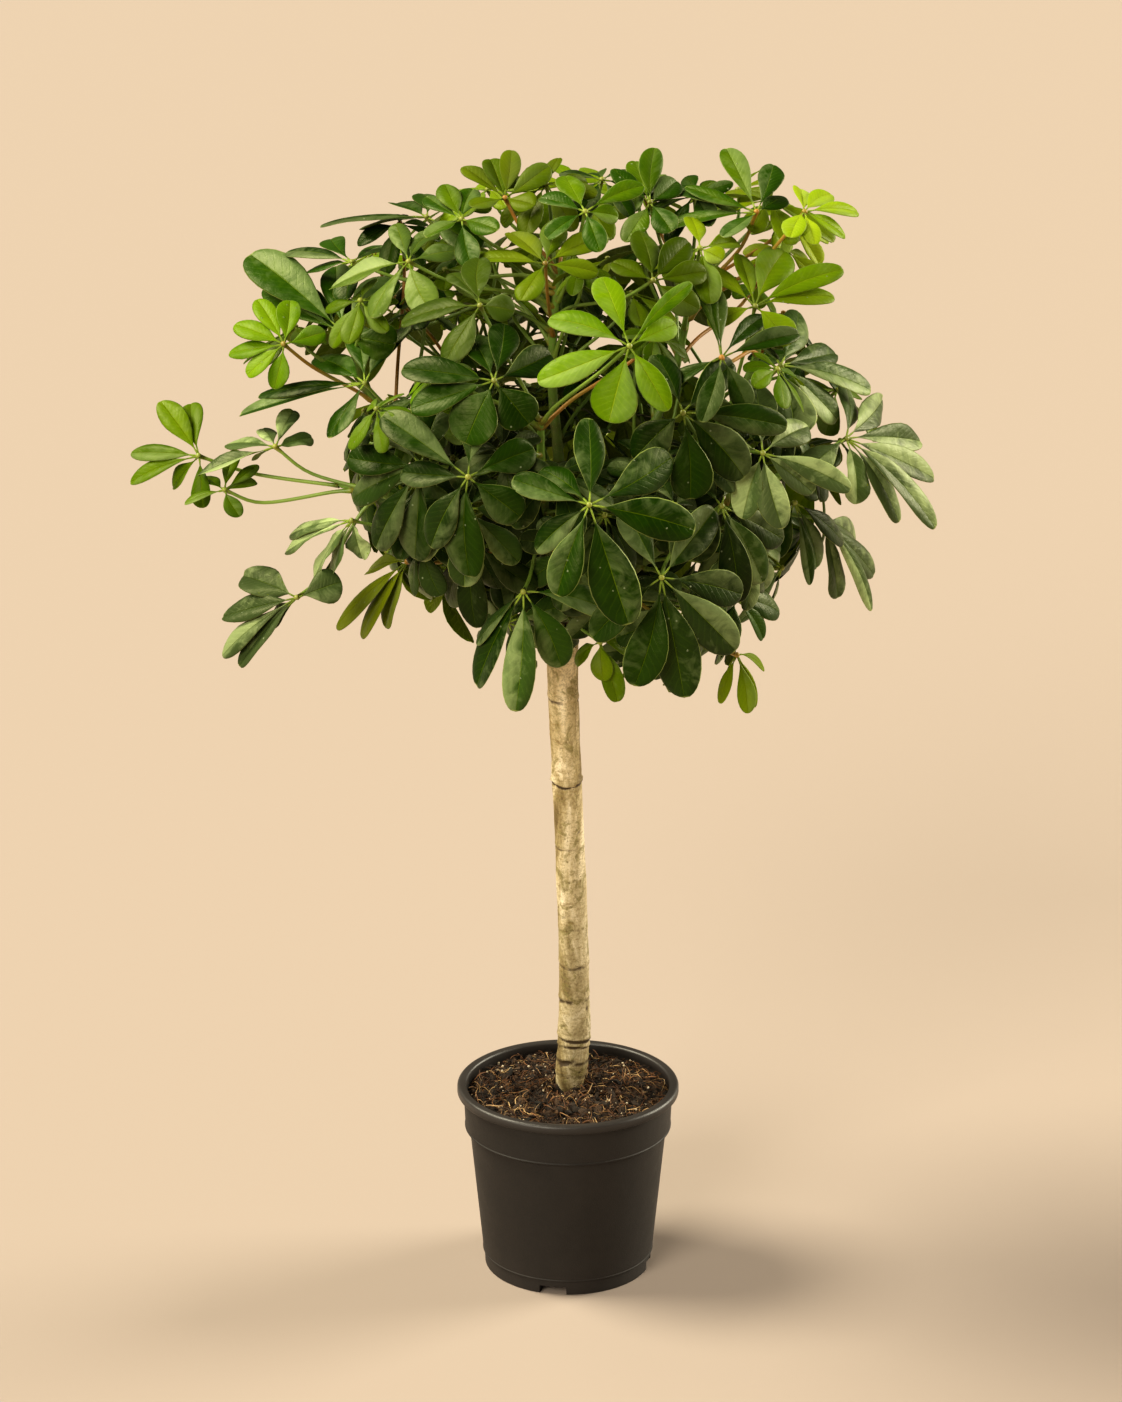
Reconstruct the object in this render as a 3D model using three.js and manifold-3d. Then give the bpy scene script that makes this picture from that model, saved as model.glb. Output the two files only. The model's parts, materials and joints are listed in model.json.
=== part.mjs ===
// An umbrella plant grown as a standard: a clear trunk in a black nursery pot, with a round crown of
// long-stalked leaves, each a wheel of leaflets. Millimetres, +Z up, the front towards -Y.
// The origin is the middle of the pot's underside.
import * as THREE from "three";
import { mergeVertices } from "three/addons/utils/BufferGeometryUtils.js";
import Module from "manifold-3d";

// ---------- Driving dimensions ----------
const POT_RIM_RADIUS = 105;
const POT_HEIGHT = 184;
const POT_WALL = 2;
const RIM_DEPTH = 8.5; // rolled lip
const LIP_ROUND = 2.6;
const COLLAR_DEPTH = 34; // straight band under the lip
const COLLAR_RADIUS = 99;
const COLLAR_FOOT_RADIUS = 97.3;
const COLLAR_STEP = 4;
const FOOT_RADIUS = 79.5;
const FOOT_RING = 6; // width of the ring that the pot stands on
const CENTRE_PAD_RADIUS = 42; // flat pad in the middle of the base
const PAD_SLOPE = 3; // its side spreads this much on the way up
const BASE_CHANNEL = 9; // height of the hollow ring between pad and foot
const NOTCH = { count: 4, width: 26, height: 8.5, turn: -10.5 }; // drain slots in the foot
const DRAIN_HOLE = { count: 8, radius: 5, ring: 58 };
const POT_SIDES = 36;

const SOIL_BELOW_RIM = 12; // at the wall
const SOIL_MOUND = 4; // the surface rises this much to the trunk

const TRUNK_RADIUS = 14.5;
const TRUNK_BURIED_TO = 70; // height of its lower end, in the soil
const TRUNK_TOP = 705;
const STEM_RADIUS = 6.5;
const STEM_TIP_RADIUS = 3.2;
const STALK_RADIUS = 1.9; // a leaf's long stalk
const STALK_LENGTH = 115; // usual length
const SHORTEST_STALK = 45;
const LONGEST_STALK = 190;
const HUB_RADIUS = 4.2; // knob where the leaflets meet
const LEAF_THICKNESS = 1.1;
const LEAFLET_SLENDERNESS = 0.4; // width over length
const GAP = 0.3; // between pieces that touch
const CLEAR = 0.8; // between leaves that pass each other

// The viewing point that columns and rows below are seen from, in a picture 1122 by 1402.
const VIEW = { side: -6.6, back: 3236, height: 1589, pitch: 17.6, focal: 3700, column: 561, row: 701 };

// ---------- Finishes ----------
const finish = (color, roughness) => new THREE.MeshStandardMaterial({ color, roughness, metalness: 0 });
const POT_PLASTIC = finish(0x2b2927, 0.55);
const POTTING_MIX = finish(0x3b2416, 0.95);
const BARK = finish(0xa8966a, 0.85);
const GREEN_STEM = finish(0x5f7a2c, 0.6);
const LEAF_DARK = finish(0x2c4a18, 0.4);
const LEAF_MID = finish(0x4a7a1e, 0.4);
const LEAF_YOUNG = finish(0x9cc62c, 0.45);

const wasm = await Module();
wasm.setup();

// ---------- Helpers ----------
const vec = (x, y, z) => new THREE.Vector3(x, y, z);
const radians = THREE.MathUtils.degToRad;
// A repeatable spread of numbers from -1 to 1, so that no two leaves are quite alike.
const vary = (a, b) => {
  const s = Math.sin(a * 12.9898 + b * 78.233) * 43758.5453;
  return 2 * (s - Math.floor(s)) - 1;
};

// The point seen at a column and row of the picture, a distance in front of the trunk.
function seen(column, row, ahead) {
  const pitch = radians(VIEW.pitch);
  const right = vec(1, 0, 0);
  const forward = vec(0, Math.cos(pitch), -Math.sin(pitch));
  const up = vec(0, Math.sin(pitch), Math.cos(pitch));
  const ray = forward.multiplyScalar(VIEW.focal);
  ray.addScaledVector(right, column - VIEW.column).addScaledVector(up, VIEW.row - row);
  const eye = vec(VIEW.side, -VIEW.back, VIEW.height);
  return eye.addScaledVector(ray, (VIEW.back - ahead) / ray.y);
}

function toSolid(geometry) {
  const bare = new THREE.BufferGeometry();
  bare.setAttribute("position", geometry.getAttribute("position"));
  bare.setIndex(geometry.index);
  const merged = mergeVertices(bare, 1e-4);
  const corners = [...merged.index.array];
  const kept = [];
  for (let i = 0; i < corners.length; i += 3) {
    const [a, b, c] = corners.slice(i, i + 3);
    if (a !== b && b !== c && c !== a) kept.push(a, b, c);
  }
  const vertProperties = new Float32Array(merged.attributes.position.array);
  const made = new wasm.Manifold(
    new wasm.Mesh({ numProp: 3, vertProperties, triVerts: new Uint32Array(kept) }),
  );
  if (made.volume() > 0) return made;
  for (let i = 0; i < kept.length; i += 3) [kept[i + 1], kept[i + 2]] = [kept[i + 2], kept[i + 1]];
  return new wasm.Manifold(
    new wasm.Mesh({ numProp: 3, vertProperties, triVerts: new Uint32Array(kept) }),
  );
}

function toMesh(name, solid, material) {
  const made = solid.getMesh();
  const stride = made.numProp;
  const points = new Float32Array(made.numVert * 3);
  for (let i = 0; i < made.numVert; i++) {
    points.set(made.vertProperties.subarray(i * stride, i * stride + 3), i * 3);
  }
  const geometry = new THREE.BufferGeometry();
  geometry.setAttribute("position", new THREE.BufferAttribute(points, 3));
  geometry.setIndex(new THREE.BufferAttribute(made.triVerts, 1));
  const flat = geometry.toNonIndexed();
  flat.computeVertexNormals();
  const mesh = new THREE.Mesh(flat, material);
  mesh.name = name;
  return mesh;
}

// A body turned on a lathe, upright along Z.
function turned(profile, sides) {
  const lathe = new THREE.LatheGeometry(profile.map(([r, z]) => new THREE.Vector2(r, z)), sides);
  return toSolid(lathe.rotateX(Math.PI / 2));
}

// A turned body whose axis is laid along a curve. Each profile entry is [share of the curve, radius];
// section may flatten or fold the round into another outline: it gets x, z on the unit circle.
// beyond is how far both ends stand out past the curve.
const ROUND = (x, z, r) => [x * r, z * r];
function laidAlong(curve, profile, sides, up, section = ROUND, beyond = 0) {
  const lathe = new THREE.LatheGeometry(profile.map(([t]) => new THREE.Vector2(1, t)), sides);
  const at = lathe.getAttribute("position");
  const radiusAt = new Map(profile.map(([t, r]) => [Math.fround(t), r]));
  for (let i = 0; i < at.count; i++) {
    const t = at.getY(i);
    const tangent = curve.getTangent(THREE.MathUtils.clamp(t, 0, 1));
    const side = tangent.clone().cross(up(t)).normalize();
    const top = side.clone().cross(tangent);
    const [x, z] = section(at.getX(i), at.getZ(i), radiusAt.get(t));
    const p = curve.getPoint(t).addScaledVector(side, x).addScaledVector(top, z);
    if (t === 0 || t === 1) p.addScaledVector(tangent, (2 * t - 1) * beyond);
    at.setXYZ(i, p.x, p.y, p.z);
  }
  return toSolid(closedEnds(lathe, sides, profile.length));
}

// Fans that close the two ends of a lathe's skin, unless they are points already.
function closedEnds(lathe, sides, rings) {
  const at = lathe.getAttribute("position");
  const index = [...lathe.index.array];
  const corner = (side, ring) => side * rings + ring;
  for (const ring of [0, rings - 1]) {
    for (let s = 1; s < sides - 1; s++) {
      const fan = [corner(0, ring), corner(s, ring), corner(s + 1, ring)];
      index.push(...(ring === 0 ? fan.reverse() : fan));
    }
  }
  const closed = new THREE.BufferGeometry();
  closed.setAttribute("position", at);
  closed.setIndex(index);
  return closed;
}

const overlapping = (a, b) => {
  const common = a.intersect(b);
  const volume = common.volume();
  common.delete();
  return volume > 1e-3;
};
const boxesMeet = (a, b, room) =>
  [0, 1, 2].every((k) => a.min[k] < b.max[k] + room && b.min[k] < a.max[k] + room);
// True where a solid stays clear of all the others by at least the room given.
const standsClear = (solid, others, room) => {
  const box = solid.boundingBox();
  return others.every(
    (o) =>
      !boxesMeet(box, o.box, room) ||
      (!overlapping(solid, o.solid) && solid.minGap(o.solid, room) >= room),
  );
};
const boxed = (solid) => ({ solid, box: solid.boundingBox() });

// ---------- Pot and soil ----------
const inside = (r) => r - POT_WALL;

function pot() {
  const lipFoot = POT_HEIGHT - RIM_DEPTH;
  const collarFoot = lipFoot - COLLAR_DEPTH;
  const bodyTop = COLLAR_FOOT_RADIUS - COLLAR_STEP;
  const profile = [
    [0, 0],
    [CENTRE_PAD_RADIUS, 0],
    [CENTRE_PAD_RADIUS + PAD_SLOPE, BASE_CHANNEL],
    [FOOT_RADIUS - FOOT_RING - 1, BASE_CHANNEL],
    [FOOT_RADIUS - FOOT_RING, 0],
    [FOOT_RADIUS - 0.5, 0],
    [FOOT_RADIUS, 14],
    [FOOT_RADIUS + 1.6, 14],
    [bodyTop, collarFoot - 3],
    [COLLAR_FOOT_RADIUS, collarFoot],
    [COLLAR_RADIUS, lipFoot],
    [POT_RIM_RADIUS - 2, lipFoot],
    [POT_RIM_RADIUS, lipFoot + LIP_ROUND],
    [POT_RIM_RADIUS, POT_HEIGHT - LIP_ROUND],
    [POT_RIM_RADIUS - LIP_ROUND, POT_HEIGHT],
    [COLLAR_RADIUS + 0.5, POT_HEIGHT],
    [inside(COLLAR_RADIUS), POT_HEIGHT - LIP_ROUND],
    [inside(COLLAR_FOOT_RADIUS), collarFoot],
    [inside(bodyTop), collarFoot - 4],
    [FOOT_RADIUS - POT_WALL, BASE_CHANNEL + POT_WALL],
    [CENTRE_PAD_RADIUS + PAD_SLOPE - 0.7 * POT_WALL, BASE_CHANNEL + POT_WALL],
    [CENTRE_PAD_RADIUS - 0.7 * POT_WALL, POT_WALL],
    [0, POT_WALL],
  ];
  let made = turned(profile, POT_SIDES);
  for (let i = 0; i < NOTCH.count; i++) {
    const slot = new THREE.BoxGeometry(NOTCH.width, 30, NOTCH.height * 2);
    slot.translate(0, -FOOT_RADIUS, 0).rotateZ(radians(NOTCH.turn + (360 * i) / NOTCH.count));
    made = made.subtract(toSolid(slot));
  }
  for (let i = 0; i < DRAIN_HOLE.count; i++) {
    const hole = new THREE.CylinderGeometry(DRAIN_HOLE.radius, DRAIN_HOLE.radius, 20, 12);
    hole.rotateX(Math.PI / 2).translate(DRAIN_HOLE.ring, 0, BASE_CHANNEL);
    hole.rotateZ(radians(((i + 0.5) * 360) / DRAIN_HOLE.count));
    made = made.subtract(toSolid(hole));
  }
  return made;
}

// It fills the pot up to a little under the rim, round the foot of the trunk.
function soil(trunkRoom) {
  const lipFoot = POT_HEIGHT - RIM_DEPTH;
  const collarFoot = lipFoot - COLLAR_DEPTH;
  const top = POT_HEIGHT - SOIL_BELOW_RIM;
  const room = POT_WALL + 1.5 * GAP;
  const edge = top - 1;
  const inWall = inside(COLLAR_RADIUS) - inside(COLLAR_FOOT_RADIUS);
  const edgeShare = (edge - collarFoot) / (POT_HEIGHT - LIP_ROUND - collarFoot);
  const profile = [
    [0, POT_WALL + GAP],
    [CENTRE_PAD_RADIUS - room, POT_WALL + GAP],
    [CENTRE_PAD_RADIUS + PAD_SLOPE - room, BASE_CHANNEL + room],
    [FOOT_RADIUS - room - 0.2, BASE_CHANNEL + room],
    [COLLAR_FOOT_RADIUS - COLLAR_STEP - room, collarFoot - 4],
    [COLLAR_FOOT_RADIUS - room, collarFoot + 0.5],
    [COLLAR_FOOT_RADIUS + inWall * edgeShare - room, edge],
    [COLLAR_RADIUS * 0.9, top + 1],
    [COLLAR_RADIUS * 0.6, top + SOIL_MOUND * 0.6],
    [COLLAR_RADIUS * 0.3, top + SOIL_MOUND],
    [0, top + SOIL_MOUND],
  ];
  return turned(profile, POT_SIDES).subtract(trunkRoom);
}

// ---------- Trunk and stems ----------
// It leans a little to the left on its way up, with a slight kink where it was once cut back.
const TRUNK_LINE = new THREE.CatmullRomCurve3([
  vec(0, 16, TRUNK_BURIED_TO),
  vec(2, 15, 176),
  vec(6, 12, 230),
  vec(5, 9, 300),
  vec(4, 6, 368),
  vec(-1, 2, 481),
  vec(-5, 0, 583),
  vec(-4, 2, 650),
  vec(-2, 0, TRUNK_TOP),
]);
const TRUNK_SWELLING = [[0, 0.8], [0.12, 1.02], [0.21, 1.0], [0.26, 1.08], [0.3, 1.0], [0.45, 0.96]];
TRUNK_SWELLING.push([0.6, 0.94], [0.75, 0.96], [0.86, 1.02], [0.93, 1.05], [1, 0.8]);

function trunk(extra = 0) {
  const profile = TRUNK_SWELLING.map(([t, share]) => [t, TRUNK_RADIUS * share + extra]);
  return laidAlong(TRUNK_LINE, profile, 14, () => vec(0, 1, 0), ROUND, extra);
}

// Each stem leaves the trunk at a height and passes through places given as column, row, ahead.
const STEMS = [
  ["stem_left", 612, [[500, 545, 50], [420, 505, 75], [338, 484, 55]]],
  ["stem_upper_left", 664, [[505, 500, -10], [432, 436, -25], [374, 404, -10], [356, 352, -10]]],
  ["stem_front", 648, [[548, 540, 60], [541, 470, 95], [541, 420, 105]]],
  ["stem_top", 690, [[560, 470, 0], [552, 380, -5], [556, 300, 0], [562, 262, 5]]],
  ["stem_top_right", 684, [[630, 470, -20], [672, 380, -35], [690, 300, -30]]],
  ["stem_upper_right", 652, [[640, 510, 0], [712, 430, 10], [752, 370, 15], [760, 322, 15]]],
  ["stem_right", 626, [[645, 560, 50], [716, 512, 75], [790, 470, 65]]],
  ["stem_back", 676, [[560, 500, -90], [500, 430, -170], [455, 372, -185]]],
  ["stem_back_right", 632, [[610, 510, -90], [670, 450, -165], [720, 398, -185]]],
];

function stemLine(leaves, places) {
  const share = (leaves - TRUNK_BURIED_TO) / (TRUNK_TOP - TRUNK_BURIED_TO);
  return new THREE.CatmullRomCurve3([TRUNK_LINE.getPointAt(share), ...places.map((p) => seen(...p))]);
}

function stem(line, extra = 0) {
  const steps = 6;
  const profile = [];
  for (let i = 0; i <= steps; i++) {
    const t = i / steps;
    profile.push([t, THREE.MathUtils.lerp(STEM_RADIUS, STEM_TIP_RADIUS, t) + extra]);
  }
  return laidAlong(line, profile, 6, () => vec(0.31, 0.95, 0.1), ROUND, extra);
}

// ---------- Leaves ----------
// column, row, ahead: where its hub is. yaw: which way it faces, 0 to the front and 90 to the right.
// lift: how far it faces up. droop: how far the leaflets fall from flat. reach: a usual leaflet's length.
// tips: column and row of each leaflet's tip, and its width where that is out of the ordinary;
// or count and turn: leaflets spread evenly, the longest one turned this far from straight downhill.
const LEAVES = [
  // The large dark leaves of the front.
  { name: "leaf_front_1", place: [591, 505, 228], yaw: 4, lift: 24, reach: 100, droop: 4,
    tips: [[588, 422, 30], [538, 464, 30], [513, 480, 26], [532, 552],
      [556, 596], [632, 629, 46], [694, 532], [678, 452]] },
  { name: "leaf_front_2", place: [467, 477, 212], yaw: -10, lift: 26, reach: 92, droop: 6,
    tips: [[382, 415, 30], [397, 470, 26], [468, 580, 36], [430, 548, 32],
      [521, 518, 32], [537, 446, 30], [480, 405, 28]] },
  { name: "leaf_front_3", place: [421, 466, 180], yaw: -22, lift: 20, reach: 88, droop: 8,
    tips: [[345, 498, 32], [350, 458, 28], [375, 549, 34],
      [412, 562, 36], [380, 412, 26], [445, 400, 30]] },
  { name: "leaf_front_4", place: [494, 381, 178], yaw: -8, lift: 38, reach: 82, droop: 4,
    tips: [[400, 366, 28], [469, 332, 28], [408, 408, 28], [464, 444, 42],
      [553, 353, 28], [505, 322, 26], [530, 425, 34]] },
  { name: "leaf_front_5", place: [629, 345, 190], yaw: 2, lift: 32, reach: 78, droop: 2, tone: "young",
    tips: [[602, 278, 28], [546, 314, 26], [536, 382, 29], [608, 423, 42],
      [668, 412, 24], [692, 284, 14], [678, 322, 22]] },
  { name: "leaf_front_6", place: [524, 590, 180], yaw: -4, lift: 46, reach: 98, droop: 34,
    tips: [[481, 645, 18], [467, 689, 34], [516, 711, 34], [567, 672, 34], [612, 620, 30]] },
  { name: "leaf_front_7", place: [661, 577, 195], yaw: 12, lift: 20, reach: 96, droop: 6,
    tips: [[747, 595, 32], [735, 652, 36], [687, 703, 40], [633, 687, 36],
      [714, 510, 32], [590, 640, 30], [625, 505, 30]] },
  { name: "leaf_front_8", place: [472, 540, 130], yaw: -14, lift: 30, reach: 84, droop: 22,
    tips: [[415, 560, 30], [437, 609, 38], [478, 626, 36], [500, 594, 32], [535, 590, 32]] },
  { name: "leaf_front_9", place: [683, 412, 160], yaw: 10, lift: 30, reach: 88, droop: 6,
    tips: [[790, 427, 24], [734, 362, 26], [745, 478, 34],
      [690, 500, 34], [632, 460, 32], [655, 352, 24]] },
  { name: "leaf_front_10", place: [600, 640, 120], yaw: 2, lift: 40, reach: 62, droop: 30, tone: "mid",
    tips: [[603, 680, 22], [630, 648, 22], [570, 660, 24], [620, 705, 22]] },
  // The right side, drooping.
  { name: "leaf_right_1", place: [722, 357, 120], yaw: 10, lift: 50, reach: 80, droop: 4,
    tips: [[690, 292, 16], [716, 300, 24], [770, 300, 26], [795, 345, 30],
      [700, 430, 34], [650, 385, 28], [752, 405, 34]] },
  { name: "leaf_right_2", place: [780, 365, 62], yaw: 40, lift: 52, reach: 92, droop: 4,
    tips: [[752, 339, 28], [800, 310, 28], [873, 390, 24],
      [838, 352, 24], [795, 436, 40], [840, 420, 28]] },
  { name: "leaf_right_3", place: [762, 452, 128], yaw: 14, lift: 34, reach: 84, droop: 6,
    tips: [[849, 492, 24], [818, 492, 24], [781, 530, 30], [742, 520, 30],
      [710, 440, 26], [755, 385, 34], [815, 420, 30]] },
  { name: "leaf_right_4", place: [846, 437, 50], yaw: 50, lift: 38, reach: 92, droop: 8,
    tips: [[921, 441, 24], [938, 478, 24], [937, 529, 24], [900, 523, 24],
      [858, 505, 26], [800, 475, 26], [845, 380, 26], [885, 398, 24]] },
  { name: "leaf_right_5", place: [722, 505, 150], yaw: 20, lift: 34, reach: 84, droop: 16,
    tips: [[785, 540, 30], [764, 584, 28], [740, 605, 28],
      [690, 560, 30], [680, 470, 28], [742, 452, 28]] },
  { name: "leaf_right_6", place: [795, 500, 62], yaw: 30, lift: 46, reach: 80, droop: 46,
    tips: [[808, 586, 14], [825, 570, 24], [770, 560, 22], [842, 545, 22]] },
  { name: "leaf_right_7", place: [822, 518, 10], yaw: 40, lift: 40, reach: 84, droop: 40,
    tips: [[874, 612, 16], [876, 576, 24], [860, 540, 24], [840, 600, 22]] },
  { name: "leaf_right_8", place: [735, 598, 110], yaw: 40, lift: 40, reach: 60, droop: 14,
    tips: [[781, 612, 24], [765, 640, 16], [725, 650, 22], [755, 565, 22], [700, 620, 24]] },
  { name: "leaf_right_9", place: [737, 652, 120], yaw: 10, lift: 56, reach: 52, droop: 48, tone: "mid",
    tips: [[738, 684, 18], [722, 702, 20], [745, 712, 26],
      [712, 690, 20], [763, 711, 16], [757, 676, 18]] },
  // The left side, with the small leaves that stand out of the crown.
  { name: "leaf_left_1", place: [201, 456, 40], yaw: -24, lift: 36, reach: 60, droop: 2, tone: "mid",
    tips: [[162, 402, 24], [189, 401, 24], [127, 450, 19],
      [130, 483, 20], [170, 487, 20], [203, 509, 22]] },
  { name: "leaf_left_2", place: [224, 491, 80], yaw: -4, lift: 60, reach: 46, droop: 6, tone: "mid",
    tips: [[259, 461, 12], [257, 483, 14], [238, 452, 14],
      [205, 472, 16], [185, 505, 16], [240, 516, 16]] },
  { name: "leaf_left_3", place: [276, 448, 66], yaw: -20, lift: 58, reach: 56, droop: 6,
    tips: [[294, 408, 18], [313, 437, 18], [262, 428, 16],
      [225, 443, 18], [196, 474, 18], [255, 460, 14]] },
  { name: "leaf_left_4", place: [298, 598, 116], yaw: -28, lift: 34, reach: 68, droop: 4,
    tips: [[242, 575, 30], [222, 617, 24], [218, 655, 22],
      [239, 667, 20], [270, 624, 20], [342, 582, 30]] },
  { name: "leaf_left_5", place: [353, 518, 112], yaw: -26, lift: 46, reach: 66, droop: 34,
    tips: [[312, 581, 18], [330, 578, 22], [283, 552, 16], [288, 534, 18], [362, 560, 22]] },
  { name: "leaf_left_6", place: [408, 560, 90], yaw: -40, lift: 40, reach: 84, droop: 16, tone: "mid",
    tips: [[334, 628, 26], [357, 637, 26], [365, 570, 20], [385, 628, 28]] },
  { name: "leaf_left_7", place: [366, 383, 45], yaw: -40, lift: 56, reach: 92, droop: 0,
    tips: [[234, 408, 24], [258, 396, 24], [312, 350, 30],
      [358, 328, 26], [402, 322, 26], [330, 440, 30]] },
  { name: "leaf_left_8", place: [285, 345, 55], yaw: -14, lift: 40, reach: 52, droop: 2, tone: "young",
    tips: [[255, 295, 20], [291, 301, 22], [235, 325, 22], [226, 351, 20],
      [247, 376, 22], [273, 389, 22], [326, 333, 20]] },
  { name: "leaf_left_9", place: [344, 335, -10], yaw: -24, lift: 46, reach: 98, droop: -2,
    tips: [[248, 251, 40], [262, 285, 24], [300, 290, 26],
      [394, 275, 34], [335, 262, 28], [395, 345, 34]] },
  { name: "leaf_left_10", place: [408, 261, 45], yaw: -34, lift: 56, reach: 76, droop: 2, tone: "mid",
    tips: [[328, 286, 34], [395, 222, 18], [436, 230, 18],
      [458, 250, 22], [370, 318, 26], [430, 312, 28]] },
  { name: "leaf_left_11", place: [428, 218, -30], yaw: -34, lift: 66, reach: 80, droop: 0,
    tips: [[361, 228, 28], [318, 221, 24], [394, 203, 24], [424, 190, 24], [478, 250, 30]] },
  { name: "leaf_left_12", place: [352, 262, -30], yaw: -50, lift: 62, reach: 74, droop: 6,
    tips: [[305, 270, 22], [285, 250, 22], [330, 236, 22], [345, 300, 26], [385, 245, 22]] },
  // The top, held up to the light.
  { name: "leaf_top_1", place: [462, 220, 20], yaw: -20, lift: 58, reach: 60, droop: -14,
    tips: [[424, 191, 22], [446, 187, 24], [472, 184, 24],
      [425, 240, 24], [500, 235, 24], [470, 262, 26]] },
  { name: "leaf_top_2", place: [505, 200, -5], yaw: 0, lift: 58, reach: 52, droop: -22, tone: "young",
    tips: [[462, 166, 20], [490, 159, 24], [512, 148, 18],
      [550, 165, 22], [470, 205, 20], [535, 205, 22]] },
  { name: "leaf_top_3", place: [585, 212, 40], yaw: 0, lift: 50, reach: 66, droop: -6,
    tips: [[565, 170, 32], [620, 214, 24], [644, 190, 24],
      [540, 200, 26], [545, 235, 26], [600, 255, 26]] },
  { name: "leaf_top_4", place: [650, 204, -10], yaw: 0, lift: 52, reach: 62, droop: -14,
    tips: [[635, 155, 26], [655, 151, 24], [678, 176, 28],
      [612, 172, 22], [625, 238, 26], [672, 236, 26]] },
  { name: "leaf_top_5", place: [758, 213, 5], yaw: -14, lift: 54, reach: 80, droop: -8,
    tips: [[727, 153, 26], [671, 178, 24], [686, 193, 20], [652, 222, 22],
      [775, 168, 26], [787, 190, 22], [722, 241, 22]] },
  { name: "leaf_top_6", place: [803, 212, 15], yaw: 36, lift: 66, reach: 54, droop: 4, tone: "young",
    tips: [[860, 210, 18], [847, 236, 18], [833, 192, 18],
      [800, 188, 18], [790, 238, 20], [815, 245, 16]] },
  { name: "leaf_top_7", place: [755, 306, 60], yaw: 16, lift: 54, reach: 72, droop: -2, tone: "young",
    tips: [[740, 252, 18], [786, 249, 32], [844, 269, 22], [836, 296, 18],
      [790, 345, 26], [700, 262, 24], [708, 325, 22]] },
  { name: "leaf_top_8", place: [700, 248, 40], yaw: 4, lift: 60, reach: 66, droop: -4, tone: "mid",
    tips: [[722, 262, 24], [690, 222, 22], [740, 236, 22],
      [648, 262, 24], [665, 285, 24], [712, 300, 26]] },
  { name: "leaf_top_9", place: [545, 265, 85], yaw: 0, lift: 50, reach: 66, droop: -4, tone: "young",
    tips: [[608, 236, 22], [599, 273, 20], [560, 221, 22],
      [510, 232, 24], [471, 258, 22], [520, 300, 24]] },
  { name: "leaf_top_10", place: [652, 282, 88], yaw: 8, lift: 54, reach: 66, droop: -4, tone: "mid",
    tips: [[690, 240, 24], [640, 228, 24], [612, 262, 22], [708, 270, 22], [700, 310, 24]] },
  { name: "leaf_top_11", place: [480, 305, 120], yaw: -18, lift: 50, reach: 74, droop: 2, tone: "mid",
    tips: [[398, 321, 28], [450, 270, 18], [515, 311, 24], [480, 255, 24], [445, 362, 30]] },
  // The back.
  { name: "leaf_back_1", place: [400, 300, -180], yaw: -140, lift: 52, reach: 104, droop: 6,
    count: 8, turn: 0 },
  { name: "leaf_back_2", place: [500, 250, -190], yaw: -170, lift: 56, reach: 100, droop: 4,
    count: 7, turn: 10 },
  { name: "leaf_back_3", place: [650, 262, -190], yaw: 165, lift: 50, reach: 100, droop: 4,
    count: 8, turn: 0 },
  { name: "leaf_back_4", place: [480, 400, -280], yaw: -165, lift: 28, reach: 106, droop: 8,
    count: 8, turn: -10 },
  { name: "leaf_back_5", place: [640, 400, -285], yaw: 170, lift: 28, reach: 106, droop: 8,
    count: 8, turn: 15 },
];
const TONES = { dark: LEAF_DARK, mid: LEAF_MID, young: LEAF_YOUNG };

function facing(leaf, tilt) {
  const yaw = radians(leaf.yaw + tilt[0]);
  const lift = radians(leaf.lift + tilt[1]);
  const out = vec(Math.sin(yaw), -Math.cos(yaw), 0);
  const normal = out.clone().multiplyScalar(Math.cos(lift)).add(vec(0, 0, Math.sin(lift)));
  const downhill = out.multiplyScalar(Math.sin(lift)).add(vec(0, 0, -Math.cos(lift)));
  return { normal, downhill };
}

const ARCH = 26; // degrees that a leaflet bends from base to tip
const TWIST = 11; // degrees that each blade is turned, so that neighbours lap like shingles
const FOLD = 0.16; // rise of the edges over half the width
const BLADE = [[0, 0], [0.13, 0.1], [0.43, 0.86], [0.79, 0.93], [1, 0]]; // share of length, of half width

// Where a leaflet's tip is, of all the points seen at its column and row: as far from the hub and as
// far down from the leaf's face as suits the leaf.
function tipAt(leaf, hub, normal, column, row) {
  const near = leaf.place[2] + leaf.reach * 1.1;
  const fall = leaf.droop + ARCH / 2;
  let best = null;
  for (let ahead = near; ahead > near - leaf.reach * 2.6; ahead -= 3) {
    const away = seen(column, row, ahead).sub(hub);
    const length = away.length();
    const down = THREE.MathUtils.radToDeg(Math.asin(-away.dot(normal) / length));
    const misfit = 4 * (length / leaf.reach - 0.95) ** 2 + ((down - fall) / 24) ** 2;
    if (!best || misfit < best.misfit) best = { misfit, away, length, down };
  }
  return best;
}

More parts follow.
